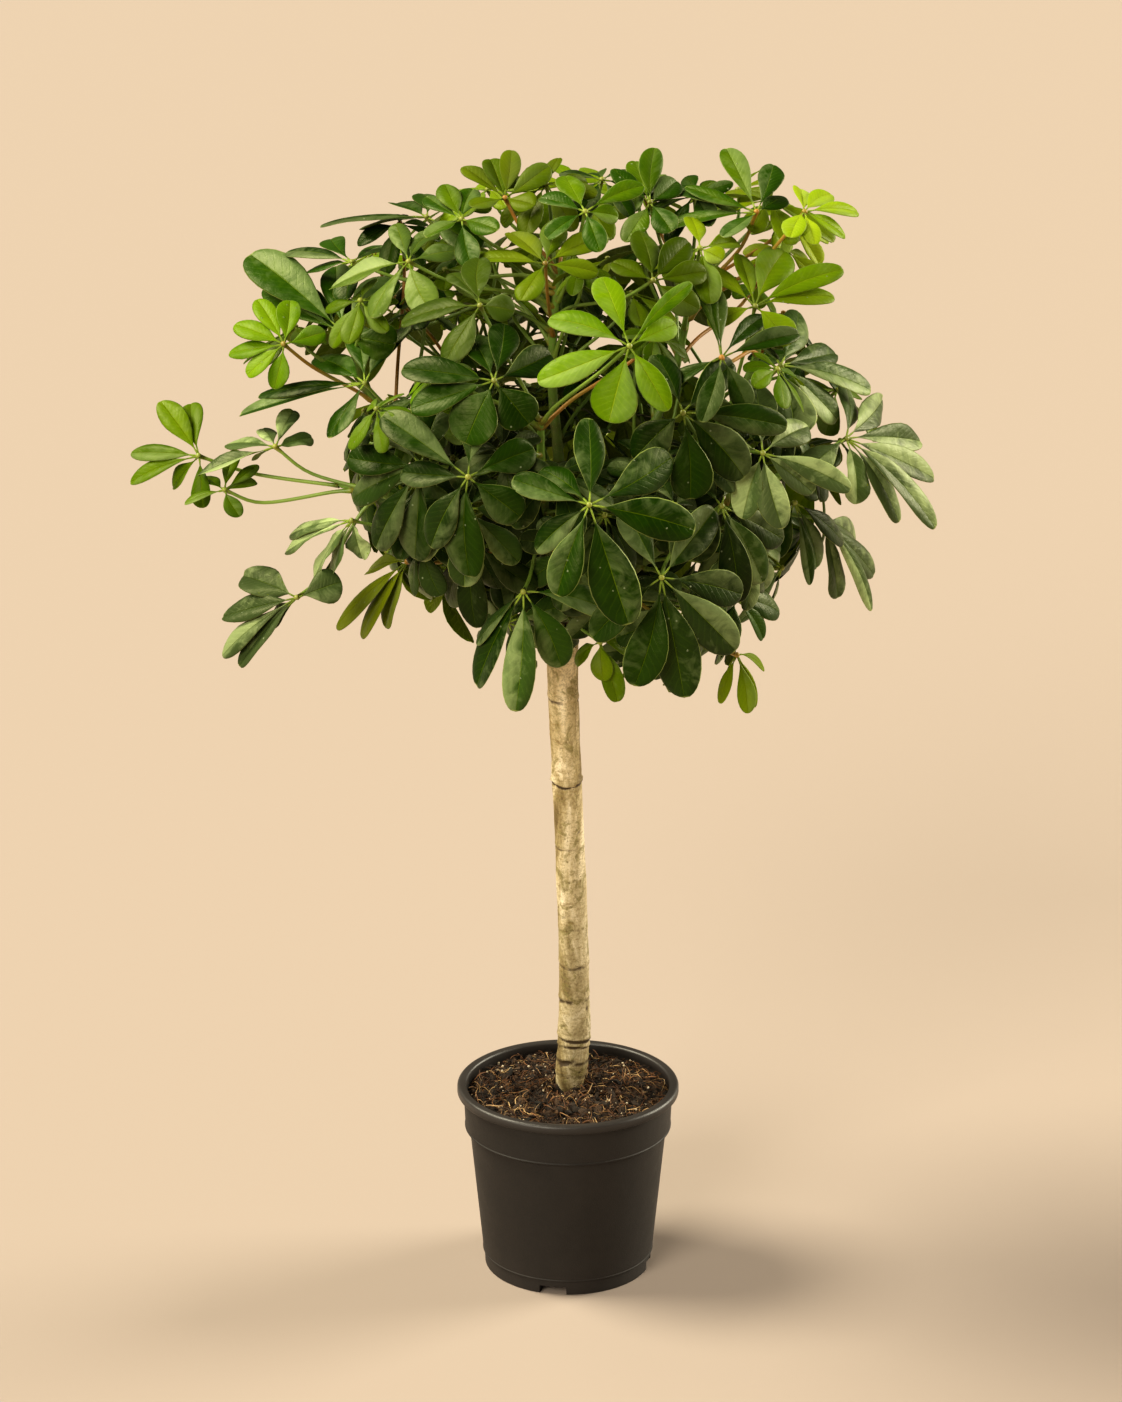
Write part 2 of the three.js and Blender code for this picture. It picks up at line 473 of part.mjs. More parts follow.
// The leaflets of a leaf: their directions in the leaf's face, lengths, falls and widths, going round.
function wheel(leaf, hub, tilt, turn, share) {
  const { normal, downhill } = facing(leaf, tilt);
  const seed = leaf.place[0] + leaf.place[1];
  const across = downhill.clone().cross(normal);
  const found = [];
  for (const [column, row, wide] of leaf.tips ?? []) {
    const { away, length, down } = tipAt(leaf, hub, normal, column, row);
    const radial = away.addScaledVector(normal, -away.dot(normal)).normalize();
    const angle = Math.atan2(radial.dot(across), radial.dot(downhill));
    const fall = down - ARCH / 2;
    found.push({ radial, angle, length, fall, wide: wide ?? length * LEAFLET_SLENDERNESS });
  }
  for (let i = 0; i < (leaf.count ?? 0); i++) {
    const round = radians((360 / leaf.count) * (i + 0.12 * vary(seed, i)));
    const radial = downhill.clone().applyAxisAngle(normal, radians(leaf.turn + turn) + round);
    const length = leaf.reach * share * (0.86 + 0.14 * Math.cos(round) + 0.05 * vary(i, seed));
    const fall = leaf.droop + 5 * vary(seed + 3, i);
    found.push({ radial, angle: -round, length, fall, wide: length * LEAFLET_SLENDERNESS });
  }
  return { normal, leaflets: found.sort((a, b) => a.angle - b.angle) };
}

// One leaflet: a thin blade on a short stalk of its own, folded a little along its midrib.
function blade(hub, normal, { radial, length, fall, wide }, slim, lap) {
  const across = radial.clone().cross(normal);
  const way = (degrees) => radial.clone().applyAxisAngle(across, -radians(degrees));
  const points = [hub.clone()];
  for (const share of [0.15, 0.5, 0.85]) {
    points.push(points.at(-1).clone().addScaledVector(way(fall + lap + ARCH * share), length / 3));
  }
  const line = new THREE.CubicBezierCurve3(...points);
  const half = (wide * slim) / 2;
  const up = normal.clone().multiplyScalar(Math.cos(radians(TWIST)));
  up.addScaledVector(across, Math.sin(radians(TWIST)));
  const thick = LEAF_THICKNESS / 2;
  const section = (x, z, r) => [x * r * half, r > 0 ? z * thick + Math.abs(x) * r * half * FOLD : 0];
  return laidAlong(line, BLADE, 4, () => up, section);
}

// The hub with its wheel of leaflets. Where two of them cut into each other they are made slimmer,
// and every other one is raised a little, so that they pass.
const WAYS_TO_PASS = [[1, 0], [0.92, 3], [0.84, 3], [0.84, 6], [0.76, 6], [0.76, 9], [0.66, 9], [0.6, 11]];
function rosette(hub, { normal, leaflets }) {
  const core = toSolid(new THREE.OctahedronGeometry(HUB_RADIUS, 0).translate(hub.x, hub.y, hub.z));
  const around = toSolid(new THREE.OctahedronGeometry(4 * HUB_RADIUS, 0).translate(hub.x, hub.y, hub.z));
  let blades;
  for (const [slim, lap] of WAYS_TO_PASS) {
    blades = leaflets.map((one, i) => blade(hub, normal, one, slim, i % 2 ? lap : -lap));
    const free = blades.map((one) => one.subtract(around));
    const tangled = free.some((one, i) => free.slice(i + 1).some((other) => overlapping(one, other)));
    if (!tangled) return wasm.Manifold.union([core, ...blades]);
  }
  return null;
}

// The stalk springs from a stem and meets the hub from behind.
const STALK_SHAPE = [[0, 1.5], [0.2, 1.05], [0.6, 1], [1, 0.95]];
function stalk(from, sprout, hub, normal) {
  const length = from.distanceTo(hub);
  const bend = hub.clone().addScaledVector(normal, -0.3 * length);
  const rise = from.clone().addScaledVector(sprout, 0.3 * length);
  const line = new THREE.CubicBezierCurve3(from, rise, bend, hub);
  const profile = STALK_SHAPE.map(([t, share]) => [t, STALK_RADIUS * share]);
  return laidAlong(line, profile, 4, () => vec(0.35, 0.2, 0.91));
}

// The places on the stems where a leaf's stalk could spring, the likeliest first.
function sproutings(stems, hub, normal) {
  const found = [];
  stems.forEach(({ line }, index) => {
    for (let t = 0.3; t <= 0.985; t += 0.035) {
      const from = line.getPoint(t);
      const way = hub.clone().sub(from);
      const length = way.length();
      way.normalize();
      const behind = way.dot(normal);
      if (length < SHORTEST_STALK || behind < -0.15) continue;
      const tooLong = length > LONGEST_STALK ? 2 : 0;
      const strain = Math.abs(length / STALK_LENGTH - 1) + tooLong + 0.7 * (1 - behind);
      const sprout = way.clone().addScaledVector(line.getTangent(t), 0.6).normalize();
      found.push({ index, from, sprout, strain });
    }
  });
  return found.sort((a, b) => a.strain - b.strain);
}

// Small changes that a leaf makes to find room among its neighbours: how far it moves along the line
// of sight, how it tilts in yaw and lift, how far it turns and its share of the full reach.
const SHUFFLES = [];
for (const share of [1, 0.9, 0.8]) {
  for (const far of [0, 8, 16, 26, 38, 52, 70, 90]) {
    for (const tilt of [[0, 0], [10, 0], [-10, 0], [0, 10], [0, -10], [18, 8], [-18, 8]]) {
      SHUFFLES.push([far, tilt, tilt[0], share], [-far, tilt, -tilt[0], share]);
    }
  }
}

// ---------- The plant ----------
const plant = new THREE.Group();
const trunkSolid = trunk();
const trunkRoom = trunk(GAP);

const potSolid = pot();
plant.add(toMesh("pot", potSolid, POT_PLASTIC));

plant.add(toMesh("soil", soil(trunkRoom), POTTING_MIX));
plant.add(toMesh("trunk", trunkSolid, BARK));

const stems = [];
for (const [name, leaves, places] of STEMS) {
  const line = stemLine(leaves, places);
  let solid = stem(line).subtract(trunkRoom);
  for (const other of stems) solid = solid.subtract(other.room);
  solid = solid.decompose().sort((a, b) => b.volume() - a.volume())[0];
  stems.push({ name, line, solid, room: stem(line, GAP), found: boxed(solid) });
}
for (const { name, solid } of stems) plant.add(toMesh(name, solid, GREEN_STEM));

// Every wheel of leaflets finds its place first, and then the stalks find a way between them.
const standing = [boxed(trunkSolid), ...stems.map(({ found }) => found)];
const placed = LEAVES.map((leaf) => {
  const [column, row, ahead] = leaf.place;
  for (const [shift, tilt, turn, share] of SHUFFLES) {
    const hub = seen(column, row, ahead + shift);
    const shape = wheel({ ...leaf, place: [column, row, ahead + shift] }, hub, tilt, turn, share);
    const solid = rosette(hub, shape);
    if (solid && standsClear(solid, standing, CLEAR)) {
      const found = boxed(solid);
      standing.push(found);
      return { leaf, hub, normal: shape.normal, found };
    }
    solid?.delete();
  }
  throw new Error(leaf.name + " finds no room");
});
for (const { leaf, hub, normal, found } of placed) {
  const others = standing.filter((o) => o !== found);
  const way = sproutings(stems, hub, normal).find((s) => {
    const made = stalk(s.from, s.sprout, hub, normal);
    const own = stems[s.index];
    const clear = made.subtract(own.room);
    const fits =
      clear.decompose().length === 1 && standsClear(clear, others.filter((o) => o !== own.found), CLEAR / 2);
    if (!fits) return false;
    s.solid = clear;
    return true;
  });
  if (!way) throw new Error(leaf.name + " finds no way for its stalk");
  const whole = found.solid.add(way.solid).subtract(stems[way.index].room);
  standing[standing.indexOf(found)] = boxed(whole);
  plant.add(toMesh(leaf.name, whole, TONES[leaf.tone ?? "dark"]));
}

export default plant;
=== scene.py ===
"""The looks of an umbrella plant grown as a standard in a black nursery pot.

Lengths are worked out in millimetres, in the CAD model's own frame, and put into meshes in metres.
"""
import json
import math
import random

import bmesh
import bpy
import numpy as np
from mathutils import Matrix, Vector
from mathutils import noise as blender_noise
from mathutils.bvhtree import BVHTree


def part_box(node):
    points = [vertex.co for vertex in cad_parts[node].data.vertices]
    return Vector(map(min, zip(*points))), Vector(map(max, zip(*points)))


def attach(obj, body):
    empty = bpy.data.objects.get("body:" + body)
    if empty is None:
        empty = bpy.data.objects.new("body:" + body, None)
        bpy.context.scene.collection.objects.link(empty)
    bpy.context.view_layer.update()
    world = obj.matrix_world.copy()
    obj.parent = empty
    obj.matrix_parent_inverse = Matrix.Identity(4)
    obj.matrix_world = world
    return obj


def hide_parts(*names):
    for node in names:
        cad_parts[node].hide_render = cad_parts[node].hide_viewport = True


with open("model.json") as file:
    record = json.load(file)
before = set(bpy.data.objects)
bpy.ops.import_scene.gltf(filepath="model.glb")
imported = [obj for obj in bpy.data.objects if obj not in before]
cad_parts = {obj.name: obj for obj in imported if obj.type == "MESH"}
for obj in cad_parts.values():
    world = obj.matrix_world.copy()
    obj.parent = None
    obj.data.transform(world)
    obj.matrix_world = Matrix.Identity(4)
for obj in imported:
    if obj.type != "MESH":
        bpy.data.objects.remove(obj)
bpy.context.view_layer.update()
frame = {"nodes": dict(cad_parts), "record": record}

# ---------------------------------------------------------------------------------------------
# The studio: the view that the photograph was taken from, a plain pale floor and soft lamps.
# The lens is long, so the camera stands 3.2 m away and looks down a little.
# ---------------------------------------------------------------------------------------------
MM = 0.001
PICTURE_WIDTH, PICTURE_HEIGHT = 1122, 1402
FOCAL_PIXELS = 3700
EYE = Vector((-6.6, -3236, 1589))
LOOKS_DOWN = math.radians(17.6)
SENSOR_LONG_SIDE = 36

camera = bpy.data.objects.new("camera", bpy.data.cameras.new("camera"))
camera.data.sensor_width = SENSOR_LONG_SIDE
camera.data.lens = FOCAL_PIXELS / PICTURE_HEIGHT * SENSOR_LONG_SIDE
camera.data.clip_end = 100
camera.location = EYE * MM
camera.rotation_euler = (math.pi / 2 - LOOKS_DOWN, 0, 0)
bpy.context.scene.collection.objects.link(camera)
bpy.context.scene.camera = camera


def linked(thing):
    """The object, put into the scene."""
    bpy.context.scene.collection.objects.link(thing)
    return thing


LIT_SPOT = Vector((0, 0, 0.6))
LAMP_SPREAD = math.radians(30)


def lamp(name, place, strength, colour):
    """A soft distant lamp that shines from this side on the middle of the plant."""
    made = linked(bpy.data.objects.new(name, bpy.data.lights.new(name, "SUN")))
    made.data.energy = strength
    made.data.color = colour
    made.data.angle = LAMP_SPREAD
    made.location = place
    made.rotation_euler = (LIT_SPOT - Vector(place)).to_track_quat("-Z", "Y").to_euler()


lamp("key_lamp", (-1.9, 0.4, 2.9), 4.2, (1.0, 0.93, 0.72))
lamp("rim_lamp", (2.7, 1.0, 1.7), 3.5, (1.0, 0.94, 0.76))
lamp("front_lamp", (-1.5, -2.6, 2.3), 2.15, (1.0, 0.94, 0.78))

SKY_COLOUR, SKY_STRENGTH = (0.97, 0.80, 0.56, 1), 0.14
sky = bpy.data.worlds.new("studio")
sky.use_nodes = True
sky_light = sky.node_tree.nodes["Background"]
sky_light.inputs["Color"].default_value = SKY_COLOUR
sky_light.inputs["Strength"].default_value = SKY_STRENGTH
bpy.context.scene.world = sky
bpy.context.scene.view_settings.view_transform = "Standard"
bpy.context.scene.view_settings.look = "Medium High Contrast"

FLOOR_REACH = 60
FLOOR_COLOUR, FLOOR_ROUGHNESS = (0.370, 0.304, 0.266, 1), 0.85
floor_mesh = bpy.data.meshes.new("floor")
floor_corners = [(x * FLOOR_REACH, y * FLOOR_REACH, 0) for x, y in ((-1, -1), (1, -1), (1, 1), (-1, 1))]
floor_mesh.from_pydata(floor_corners, [], [(0, 1, 2, 3)])
floor = linked(bpy.data.objects.new("floor", floor_mesh))
floor_material = bpy.data.materials.new("pale_floor")
floor_material.use_nodes = True
floor_shader = floor_material.node_tree.nodes["Principled BSDF"]
floor_shader.inputs["Base Color"].default_value = FLOOR_COLOUR
floor_shader.inputs["Roughness"].default_value = FLOOR_ROUGHNESS
floor_mesh.materials.append(floor_material)

# ---------------------------------------------------------------------------------------------
# The pot: thin black plastic, moulded in one piece, with a rolled lip, a straight collar under it
# and a foot ring with drain slots. It is satin all over, with a softly glossy lip.
# ---------------------------------------------------------------------------------------------
RIM_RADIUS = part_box("pot")[1].x / MM
POT_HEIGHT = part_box("pot")[1].z / MM
LIP_DEPTH, LIP_ROUND = 8.5, 3.4
COLLAR_TOP, COLLAR_FOOT, COLLAR_DEPTH = 99, 97.3, 34
COLLAR_FOOT_HEIGHT = POT_HEIGHT - LIP_DEPTH - COLLAR_DEPTH
BODY_TOP, FOOT_RADIUS, FOOT_HEIGHT = 93.3, 79.5, 14
BODY_LOW, BODY_STEPS = 16, 8
WALL = 2
CHANNEL_HEIGHT = 9
CHANNEL_INNER, CHANNEL_OUTER = 42, 73.5
SLOT_COUNT, SLOT_WIDTH, SLOT_HEIGHT, SLOT_TURN = 4, 26, 8, math.radians(-10.5)
SLOT_EDGE = 0.004
DRAIN_COUNT, DRAIN_RADIUS, DRAIN_RING, DRAIN_CUT = 8, 5, 58, 18
POT_SIDES, DRAIN_SIDES = 150, 24
SHARP_ANGLE = math.radians(24)


def arc(middle, radius, start, end, steps):
    """Points of a round stretch of an outline, from one angle to another in degrees."""
    turns = np.radians(np.linspace(start, end, steps + 1))
    return [(middle[0] + radius * math.cos(a), middle[1] + radius * math.sin(a)) for a in turns]


def off_turn(angle, other):
    """The turn from one angle to another, the short way round."""
    return (angle - other + math.pi) % math.tau - math.pi


def shell_faces(around, rings):
    """The faces of a closed shell: one first corner, rings of this many corners, and one last corner."""
    last = 1 + (rings - 1) * around
    faces = []
    for i in range(around):
        j = (i + 1) % around
        faces.append((0, 1 + j, 1 + i))
        for low in range(1, last, around):
            high = low + around
            faces.append((low + i, low + j, high + j, high + i))
        faces.append((last + i, last + j, last + around))
    return faces


def lathe(outline, angles):
    """The corners and faces of an outline turned about the upright axis. Both its ends are on it."""
    points = [(0, 0, outline[0][1])]
    for radius, height in outline[1:-1]:
        points += [(radius * math.sin(a), -radius * math.cos(a), height) for a in angles]
    points.append((0, 0, outline[-1][1]))
    return points, shell_faces(len(angles), len(outline) - 2)


def build(name, points, faces, material=None, smooth=True):
    """An object with this mesh, given in millimetres."""
    mesh = bpy.data.meshes.new(name)
    mesh.from_pydata((np.asarray(points, float) * MM).tolist(), [], faces)
    mesh.polygons.foreach_set("use_smooth", [smooth] * len(mesh.polygons))
    if material:
        mesh.materials.append(material)
    return linked(bpy.data.objects.new(name, mesh))


def settle(thing):
    """Works an object's modifiers into its mesh."""
    bpy.context.view_layer.update()
    seen = thing.evaluated_get(bpy.context.evaluated_depsgraph_get())
    mesh = bpy.data.meshes.new_from_object(seen)
    thing.modifiers.clear()
    thing.data = mesh


# The outline's points are a radius and a height. It runs from the middle of the underside over the
# channel and the foot ring, up the outside and over the lip, and down the inside to the middle.
lip_foot = POT_HEIGHT - LIP_DEPTH
lip_middle = POT_HEIGHT - LIP_ROUND
pot_outline = [(0, 0), (CHANNEL_INNER - 1, 0), (CHANNEL_INNER, 0.6), (CHANNEL_INNER + 3, CHANNEL_HEIGHT)]
pot_outline += [(CHANNEL_OUTER - 1, CHANNEL_HEIGHT), (CHANNEL_OUTER, 0.5), (CHANNEL_OUTER + 0.6, 0)]
pot_outline += arc((FOOT_RADIUS - 1, 1), 1, -90, 0, 4)
pot_outline += [(FOOT_RADIUS + 0.1, SLOT_HEIGHT), (FOOT_RADIUS + 0.2, SLOT_HEIGHT + 0.1)]
pot_outline += [(FOOT_RADIUS + 0.4, FOOT_HEIGHT - 0.7), (FOOT_RADIUS + 1.6, FOOT_HEIGHT)]
pot_outline += [(FOOT_RADIUS + 2.1, FOOT_HEIGHT + 0.6), (FOOT_RADIUS + 2.1, FOOT_HEIGHT + 1.3)]
pot_outline += [(FOOT_RADIUS + 1.7, FOOT_HEIGHT + 1.9)]
for step in range(1, BODY_STEPS):
    share = step / BODY_STEPS
    side = FOOT_RADIUS + 1.7 + (BODY_TOP - FOOT_RADIUS - 1.7) * share
    pot_outline.append((side, BODY_LOW + (COLLAR_FOOT_HEIGHT - 3 - BODY_LOW) * share))
pot_outline += [(BODY_TOP, COLLAR_FOOT_HEIGHT - 3.2), (BODY_TOP + 0.35, COLLAR_FOOT_HEIGHT - 2.6)]
pot_outline += [(COLLAR_FOOT, COLLAR_FOOT_HEIGHT - 0.3), (COLLAR_FOOT + 0.7, COLLAR_FOOT_HEIGHT + 0.3)]
pot_outline += [(COLLAR_FOOT + 0.75, COLLAR_FOOT_HEIGHT + 1), (COLLAR_FOOT + 0.15, COLLAR_FOOT_HEIGHT + 1.8)]
pot_outline += [(COLLAR_FOOT + 0.9, COLLAR_FOOT_HEIGHT + 17), (COLLAR_TOP - 0.1, lip_foot - 0.8)]
pot_outline += [(COLLAR_TOP + 0.5, lip_foot), (RIM_RADIUS - 1.6, lip_foot)]
pot_outline += arc((RIM_RADIUS - 1.4, lip_foot + 1.4), 1.4, -90, 0, 4)
pot_outline += arc((RIM_RADIUS - LIP_ROUND, lip_middle), LIP_ROUND, 10, 90, 8)
pot_outline += arc((COLLAR_TOP - 0.4, lip_middle + 0.6), 2.6, 95, 180, 6)
pot_outline += [(COLLAR_FOOT - WALL, COLLAR_FOOT_HEIGHT), (BODY_TOP - WALL, COLLAR_FOOT_HEIGHT - 4)]
pot_outline += [(FOOT_RADIUS - WALL, CHANNEL_HEIGHT + WALL), (CHANNEL_INNER + 1.6, CHANNEL_HEIGHT + WALL)]
pot_outline += [(CHANNEL_INNER - 1.4, WALL), (0, WALL)]

# The slots in the foot ring. The pot's corners stand closer together at the edges of each slot.
slot_half = math.asin(SLOT_WIDTH / 2 / FOOT_RADIUS)
slot_edges = []
for i in range(SLOT_COUNT):
    middle = SLOT_TURN + i * math.tau / SLOT_COUNT
    left, right = middle - slot_half, middle + slot_half
    slot_edges += [left, left + SLOT_EDGE, right - SLOT_EDGE, right]
pot_angles = np.linspace(0, math.tau, POT_SIDES, endpoint=False)
pot_angles = [a for a in pot_angles if all(abs(off_turn(a, edge)) > 3 * SLOT_EDGE for edge in slot_edges)]
pot_angles = sorted(pot_angles + [edge % math.tau for edge in slot_edges])
pot_points, pot_faces = lathe(pot_outline, pot_angles)
for i, (x, y, z) in enumerate(pot_points):
    turn = math.atan2(x, -y) - SLOT_TURN
    off_middle = abs((turn + math.pi / SLOT_COUNT) % (math.tau / SLOT_COUNT) - math.pi / SLOT_COUNT)
    in_foot_ring = z < SLOT_HEIGHT and math.hypot(x, y) > CHANNEL_OUTER - 2
    if in_foot_ring and off_middle < slot_half - SLOT_EDGE / 2:
        pot_points[i] = (x, y, SLOT_HEIGHT)
pot = build("nursery_pot", pot_points, pot_faces)

# The drain holes, cut through the raised channel from below.
drain_outline = [(0, 0), (DRAIN_RADIUS, 0), (DRAIN_RADIUS, DRAIN_CUT), (0, DRAIN_CUT)]
hole, hole_faces = lathe(drain_outline, np.linspace(0, math.tau, DRAIN_SIDES, endpoint=False))
drain_points, drain_faces = [], []
for i in range(DRAIN_COUNT):
    turn = (i + 0.5) * math.tau / DRAIN_COUNT
    drain_faces += [tuple(corner + len(drain_points) for corner in face) for face in hole_faces]
    aside, ahead = DRAIN_RING * math.cos(turn), DRAIN_RING * math.sin(turn)
    drain_points += [(x + aside, y + ahead, z) for x, y, z in hole]
drains = build("drain_cutter", drain_points, drain_faces)
cut = pot.modifiers.new("drains", "BOOLEAN")
cut.object = drains
cut.operation = "DIFFERENCE"
settle(pot)
pot.data.set_sharp_from_angle(angle=SHARP_ANGLE)
bpy.data.objects.remove(drains)


def add(tree, kind, sockets=None, **settings):
    """A new node, with its settings, and with its sockets linked or set."""
    made = tree.nodes.new(kind)
    for name, value in settings.items():
        setattr(made, name, value)
    for key, value in (sockets or {}).items():
        value = getattr(value, "socket", value)
        if isinstance(value, bpy.types.NodeSocket):
            tree.links.new(value, made.inputs[key])
        else:
            made.inputs[key].default_value = value
    return made


class Value:
    """A place, a number or a colour that a material works out. Sums on it add nodes to the material."""

    def __init__(self, socket):
        self.socket = socket

    def node(self, kind, sockets, output=0, **settings):
        """What one output of a new node in the same material gives."""
        return Value(add(self.socket.id_data, kind, sockets, **settings).outputs[output])

    def sums(self, operation, other=0.0):
        """A number worked out from this one, and from another where the sum takes two."""
        return self.node("ShaderNodeMath", {0: self, 1: other}, operation=operation)

    def __add__(self, other):
        return self.sums("ADD", other)

    def __sub__(self, other):
        return self.sums("SUBTRACT", other)

    def __mul__(self, other):
        return self.sums("MULTIPLY", other)

    def stored(self, name, output="Fac"):
        """What the mesh stores under a name."""
        return self.node("ShaderNodeAttribute", {}, output, attribute_name=name)

    def split(self):
        """The three numbers of a place or a colour."""
        parts = add(self.socket.id_data, "ShaderNodeSeparateXYZ", {0: self}).outputs
        return [Value(part) for part in parts]

    def stretched(self, x, y, z):
        """A place pressed together along some of the axes, so that a pattern there is finer or longer."""
        return self.node("ShaderNodeMapping", {"Vector": self, "Scale": (x, y, z)})

    def noise(self, scale, detail=3.0, roughness=0.55, distortion=0.0):
        """A cloudy pattern from 0 to 1."""
        sockets = {"Vector": self, "Scale": scale, "Detail": detail, "Roughness": roughness}
        return self.node("ShaderNodeTexNoise", {**sockets, "Distortion": distortion})

    def cells(self, scale):
        """A pattern of cells: how far a place is from its cell's middle, and the cell's own colour."""
        outputs = add(self.socket.id_data, "ShaderNodeTexVoronoi", {"Vector": self, "Scale": scale}).outputs
        return Value(outputs["Distance"]), Value(outputs["Color"])

    def ramp(self, *stops):
        """A number turned to a grey or a colour, by stops of a position and a grey or a colour."""
        made = add(self.socket.id_data, "ShaderNodeValToRGB", {"Fac": self})
        while len(made.color_ramp.elements) < len(stops):
            made.color_ramp.elements.new(0.5)
        for element, (position, colour) in zip(made.color_ramp.elements, stops):
            element.position = position
            element.color = (*colour, 1) if isinstance(colour, tuple) else (colour, colour, colour, 1)
        return Value(made.outputs["Color"])

    def mixed(self, other, share, way="MIX"):
        """A colour mixed with another one by a share."""
        other = (*other, 1) if isinstance(other, tuple) else other
        return self.node("ShaderNodeMix", {0: share, 6: self, 7: other}, 2, data_type="RGBA", blend_type=way)

    def times(self, other, share=1.0):
        """A colour multiplied by another one."""
        return self.mixed(other, share, "MULTIPLY")


def finish(name):
    """A new material, and the place on its piece that each point has."""
    material = bpy.data.materials.new(name)
    material.use_nodes = True
    return material, Value(add(material.node_tree, "ShaderNodeTexCoord").outputs["Object"])


def dress(material, colour, roughness, height, depth, strength):
    """Gives a material's shader its colour, roughness and relief. depth is the relief's, in metres."""
    shader = material.node_tree.nodes["Principled BSDF"]
    relief = height.node("ShaderNodeBump", {"Height": height, "Distance": depth, "Strength": strength})
    for name, value in (("Base Color", colour), ("Roughness", roughness), ("Normal", relief)):
        material.node_tree.links.new(value.socket, shader.inputs[name])
    return shader


plastic, place = finish("black_plastic")
height = place.split()[2]
near_foot = (height * 5.4).ramp((0.0, 0.9), (0.25, 0.35), (1.0, 0.25))
dust = place.stretched(1, 1, 0.12).noise(26, 5, 0.65) * near_foot
grime_and_lip_highlight = dust.ramp((0.1, (0.0118, 0.0092, 0.0078)), (0.55, (0.0205, 0.0160, 0.0138)))
scuffs = place.stretched(1, 1, 6).noise(60, 6, 0.7).ramp((0.66, 0.0), (0.74, 0.35))
grime_and_lip_highlight = grime_and_lip_highlight.mixed((0.045, 0.039, 0.033), scuffs)
share_up = height.sums("DIVIDE", POT_HEIGHT * MM)
# The top of the lip is painted paler: a painted highlight of its shine.
grime_and_lip_highlight = grime_and_lip_highlight.mixed((0.050, 0.045, 0.044), share_up.ramp((0.957, 0.0), (0.985, 0.55)))
gloss = share_up.ramp((0.0, 0.62), (0.93, 0.56), (0.955, 0.36), (1.0, 0.34))
patchy = place.noise(38, 5, 0.6).ramp((0.3, 0.0), (0.75, 0.16))
grain = place.noise(900, 2, 0.6) + place.noise(45) * 1.5
dress(plastic, grime_and_lip_highlight, gloss + patchy, grain, 0.0003, 0.5)
pot.data.materials.clear()
pot.data.materials.append(plastic)
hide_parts("pot")
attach(pot, "root")

# ---------------------------------------------------------------------------------------------
# The trunk: one bare woody stem that leans a little, with the rings that old leaves left on it.
# The bark is pale, thin and smooth, with grey-green blotches and small corky pores.
# ---------------------------------------------------------------------------------------------
def corners(node):
    """A CAD node's corners in millimetres, and for each of them the corners it shares an edge with."""
    mesh = frame["nodes"][node].data
    places = np.empty(len(mesh.vertices) * 3)
    mesh.vertices.foreach_get("co", places)
    edges = np.empty(len(mesh.edges) * 2, int)
    mesh.edges.foreach_get("vertices", edges)
    places, number = np.unique(np.round(places.reshape(-1, 3) / MM, 2), axis=0, return_inverse=True)
    joined = [set() for _ in places]
    for a, b in number.ravel()[edges.reshape(-1, 2)].tolist():
        if a != b:
            joined[a].add(b)
            joined[b].add(a)
    return places, joined


def length_of(vectors):
    """The length of a vector, or of each in a list of them."""
    return np.linalg.norm(vectors, axis=-1)


def rings(node, pick, width):
    """The rings of corners along a CAD tube, from the end that holds the picked corner."""
    places, joined = corners(node)
    ring = set(np.flatnonzero(length_of(places - places[pick(places)]) < width).tolist())
    met, found = set(ring), []
    while ring:
        found.append(places[sorted(ring)])
        ring = {other for corner in ring for other in joined[corner]} - met
        met |= ring
    return found


def smooth_line(knots, count):
    """Evenly spaced points on a smooth curve through the knots, with the directions along it."""
    knots = np.asarray(knots, float)
    ends = [2 * knots[0] - knots[1], *knots, 2 * knots[-1] - knots[-2]]
    fine = []
    for a, b, c, d in zip(ends, ends[1:], ends[2:], ends[3:]):
        for t in np.linspace(0, 1, 24, endpoint=False):
            bend = (2 * a - 5 * b + 4 * c - d) * t * t + (3 * b - a - 3 * c + d) * t**3
            fine.append(b + 0.5 * ((c - a) * t + bend))
    fine = np.array([*fine, knots[-1]])
    gone = np.concatenate([[0], np.cumsum(length_of(np.diff(fine, axis=0)))])
    even = np.linspace(0, gone[-1], count)
    line = np.stack([np.interp(even, gone, fine[:, i]) for i in range(3)], axis=1)
    ways = np.gradient(line, axis=0)
    return line, ways / length_of(ways)[:, None], even


def frames(ways, first=(0.0, 1.0, 0.0)):
    """For each direction along a line, two more at right angles that turn as little as can be."""
    side = np.asarray(first, float)
    sides = []
    for way in ways:
        side = side - way * side.dot(way)
        side = side / np.linalg.norm(side)
        sides.append(side)
    sides = np.array(sides)
    return sides, np.cross(ways, sides)


def tube(line, ways, radii, around, first=(0.0, 1.0, 0.0)):
    """A closed tube. radii has a row for each point, and in it one value or one for each side."""
    sides, tops = frames(ways, first)
    turns = np.arange(around) * math.tau / around
    radii = np.broadcast_to(np.asarray(radii, float).reshape(len(line), -1), (len(line), around))
    points = line[:, None] + radii[..., None] * (
        sides[:, None] * np.cos(turns)[None, :, None] + tops[:, None] * np.sin(turns)[None, :, None]
    )
    return [line[0], *points.reshape(-1, 3), line[-1]], shell_faces(around, len(line))


TRUNK_SIDES, TRUNK_RINGS = 56, 360
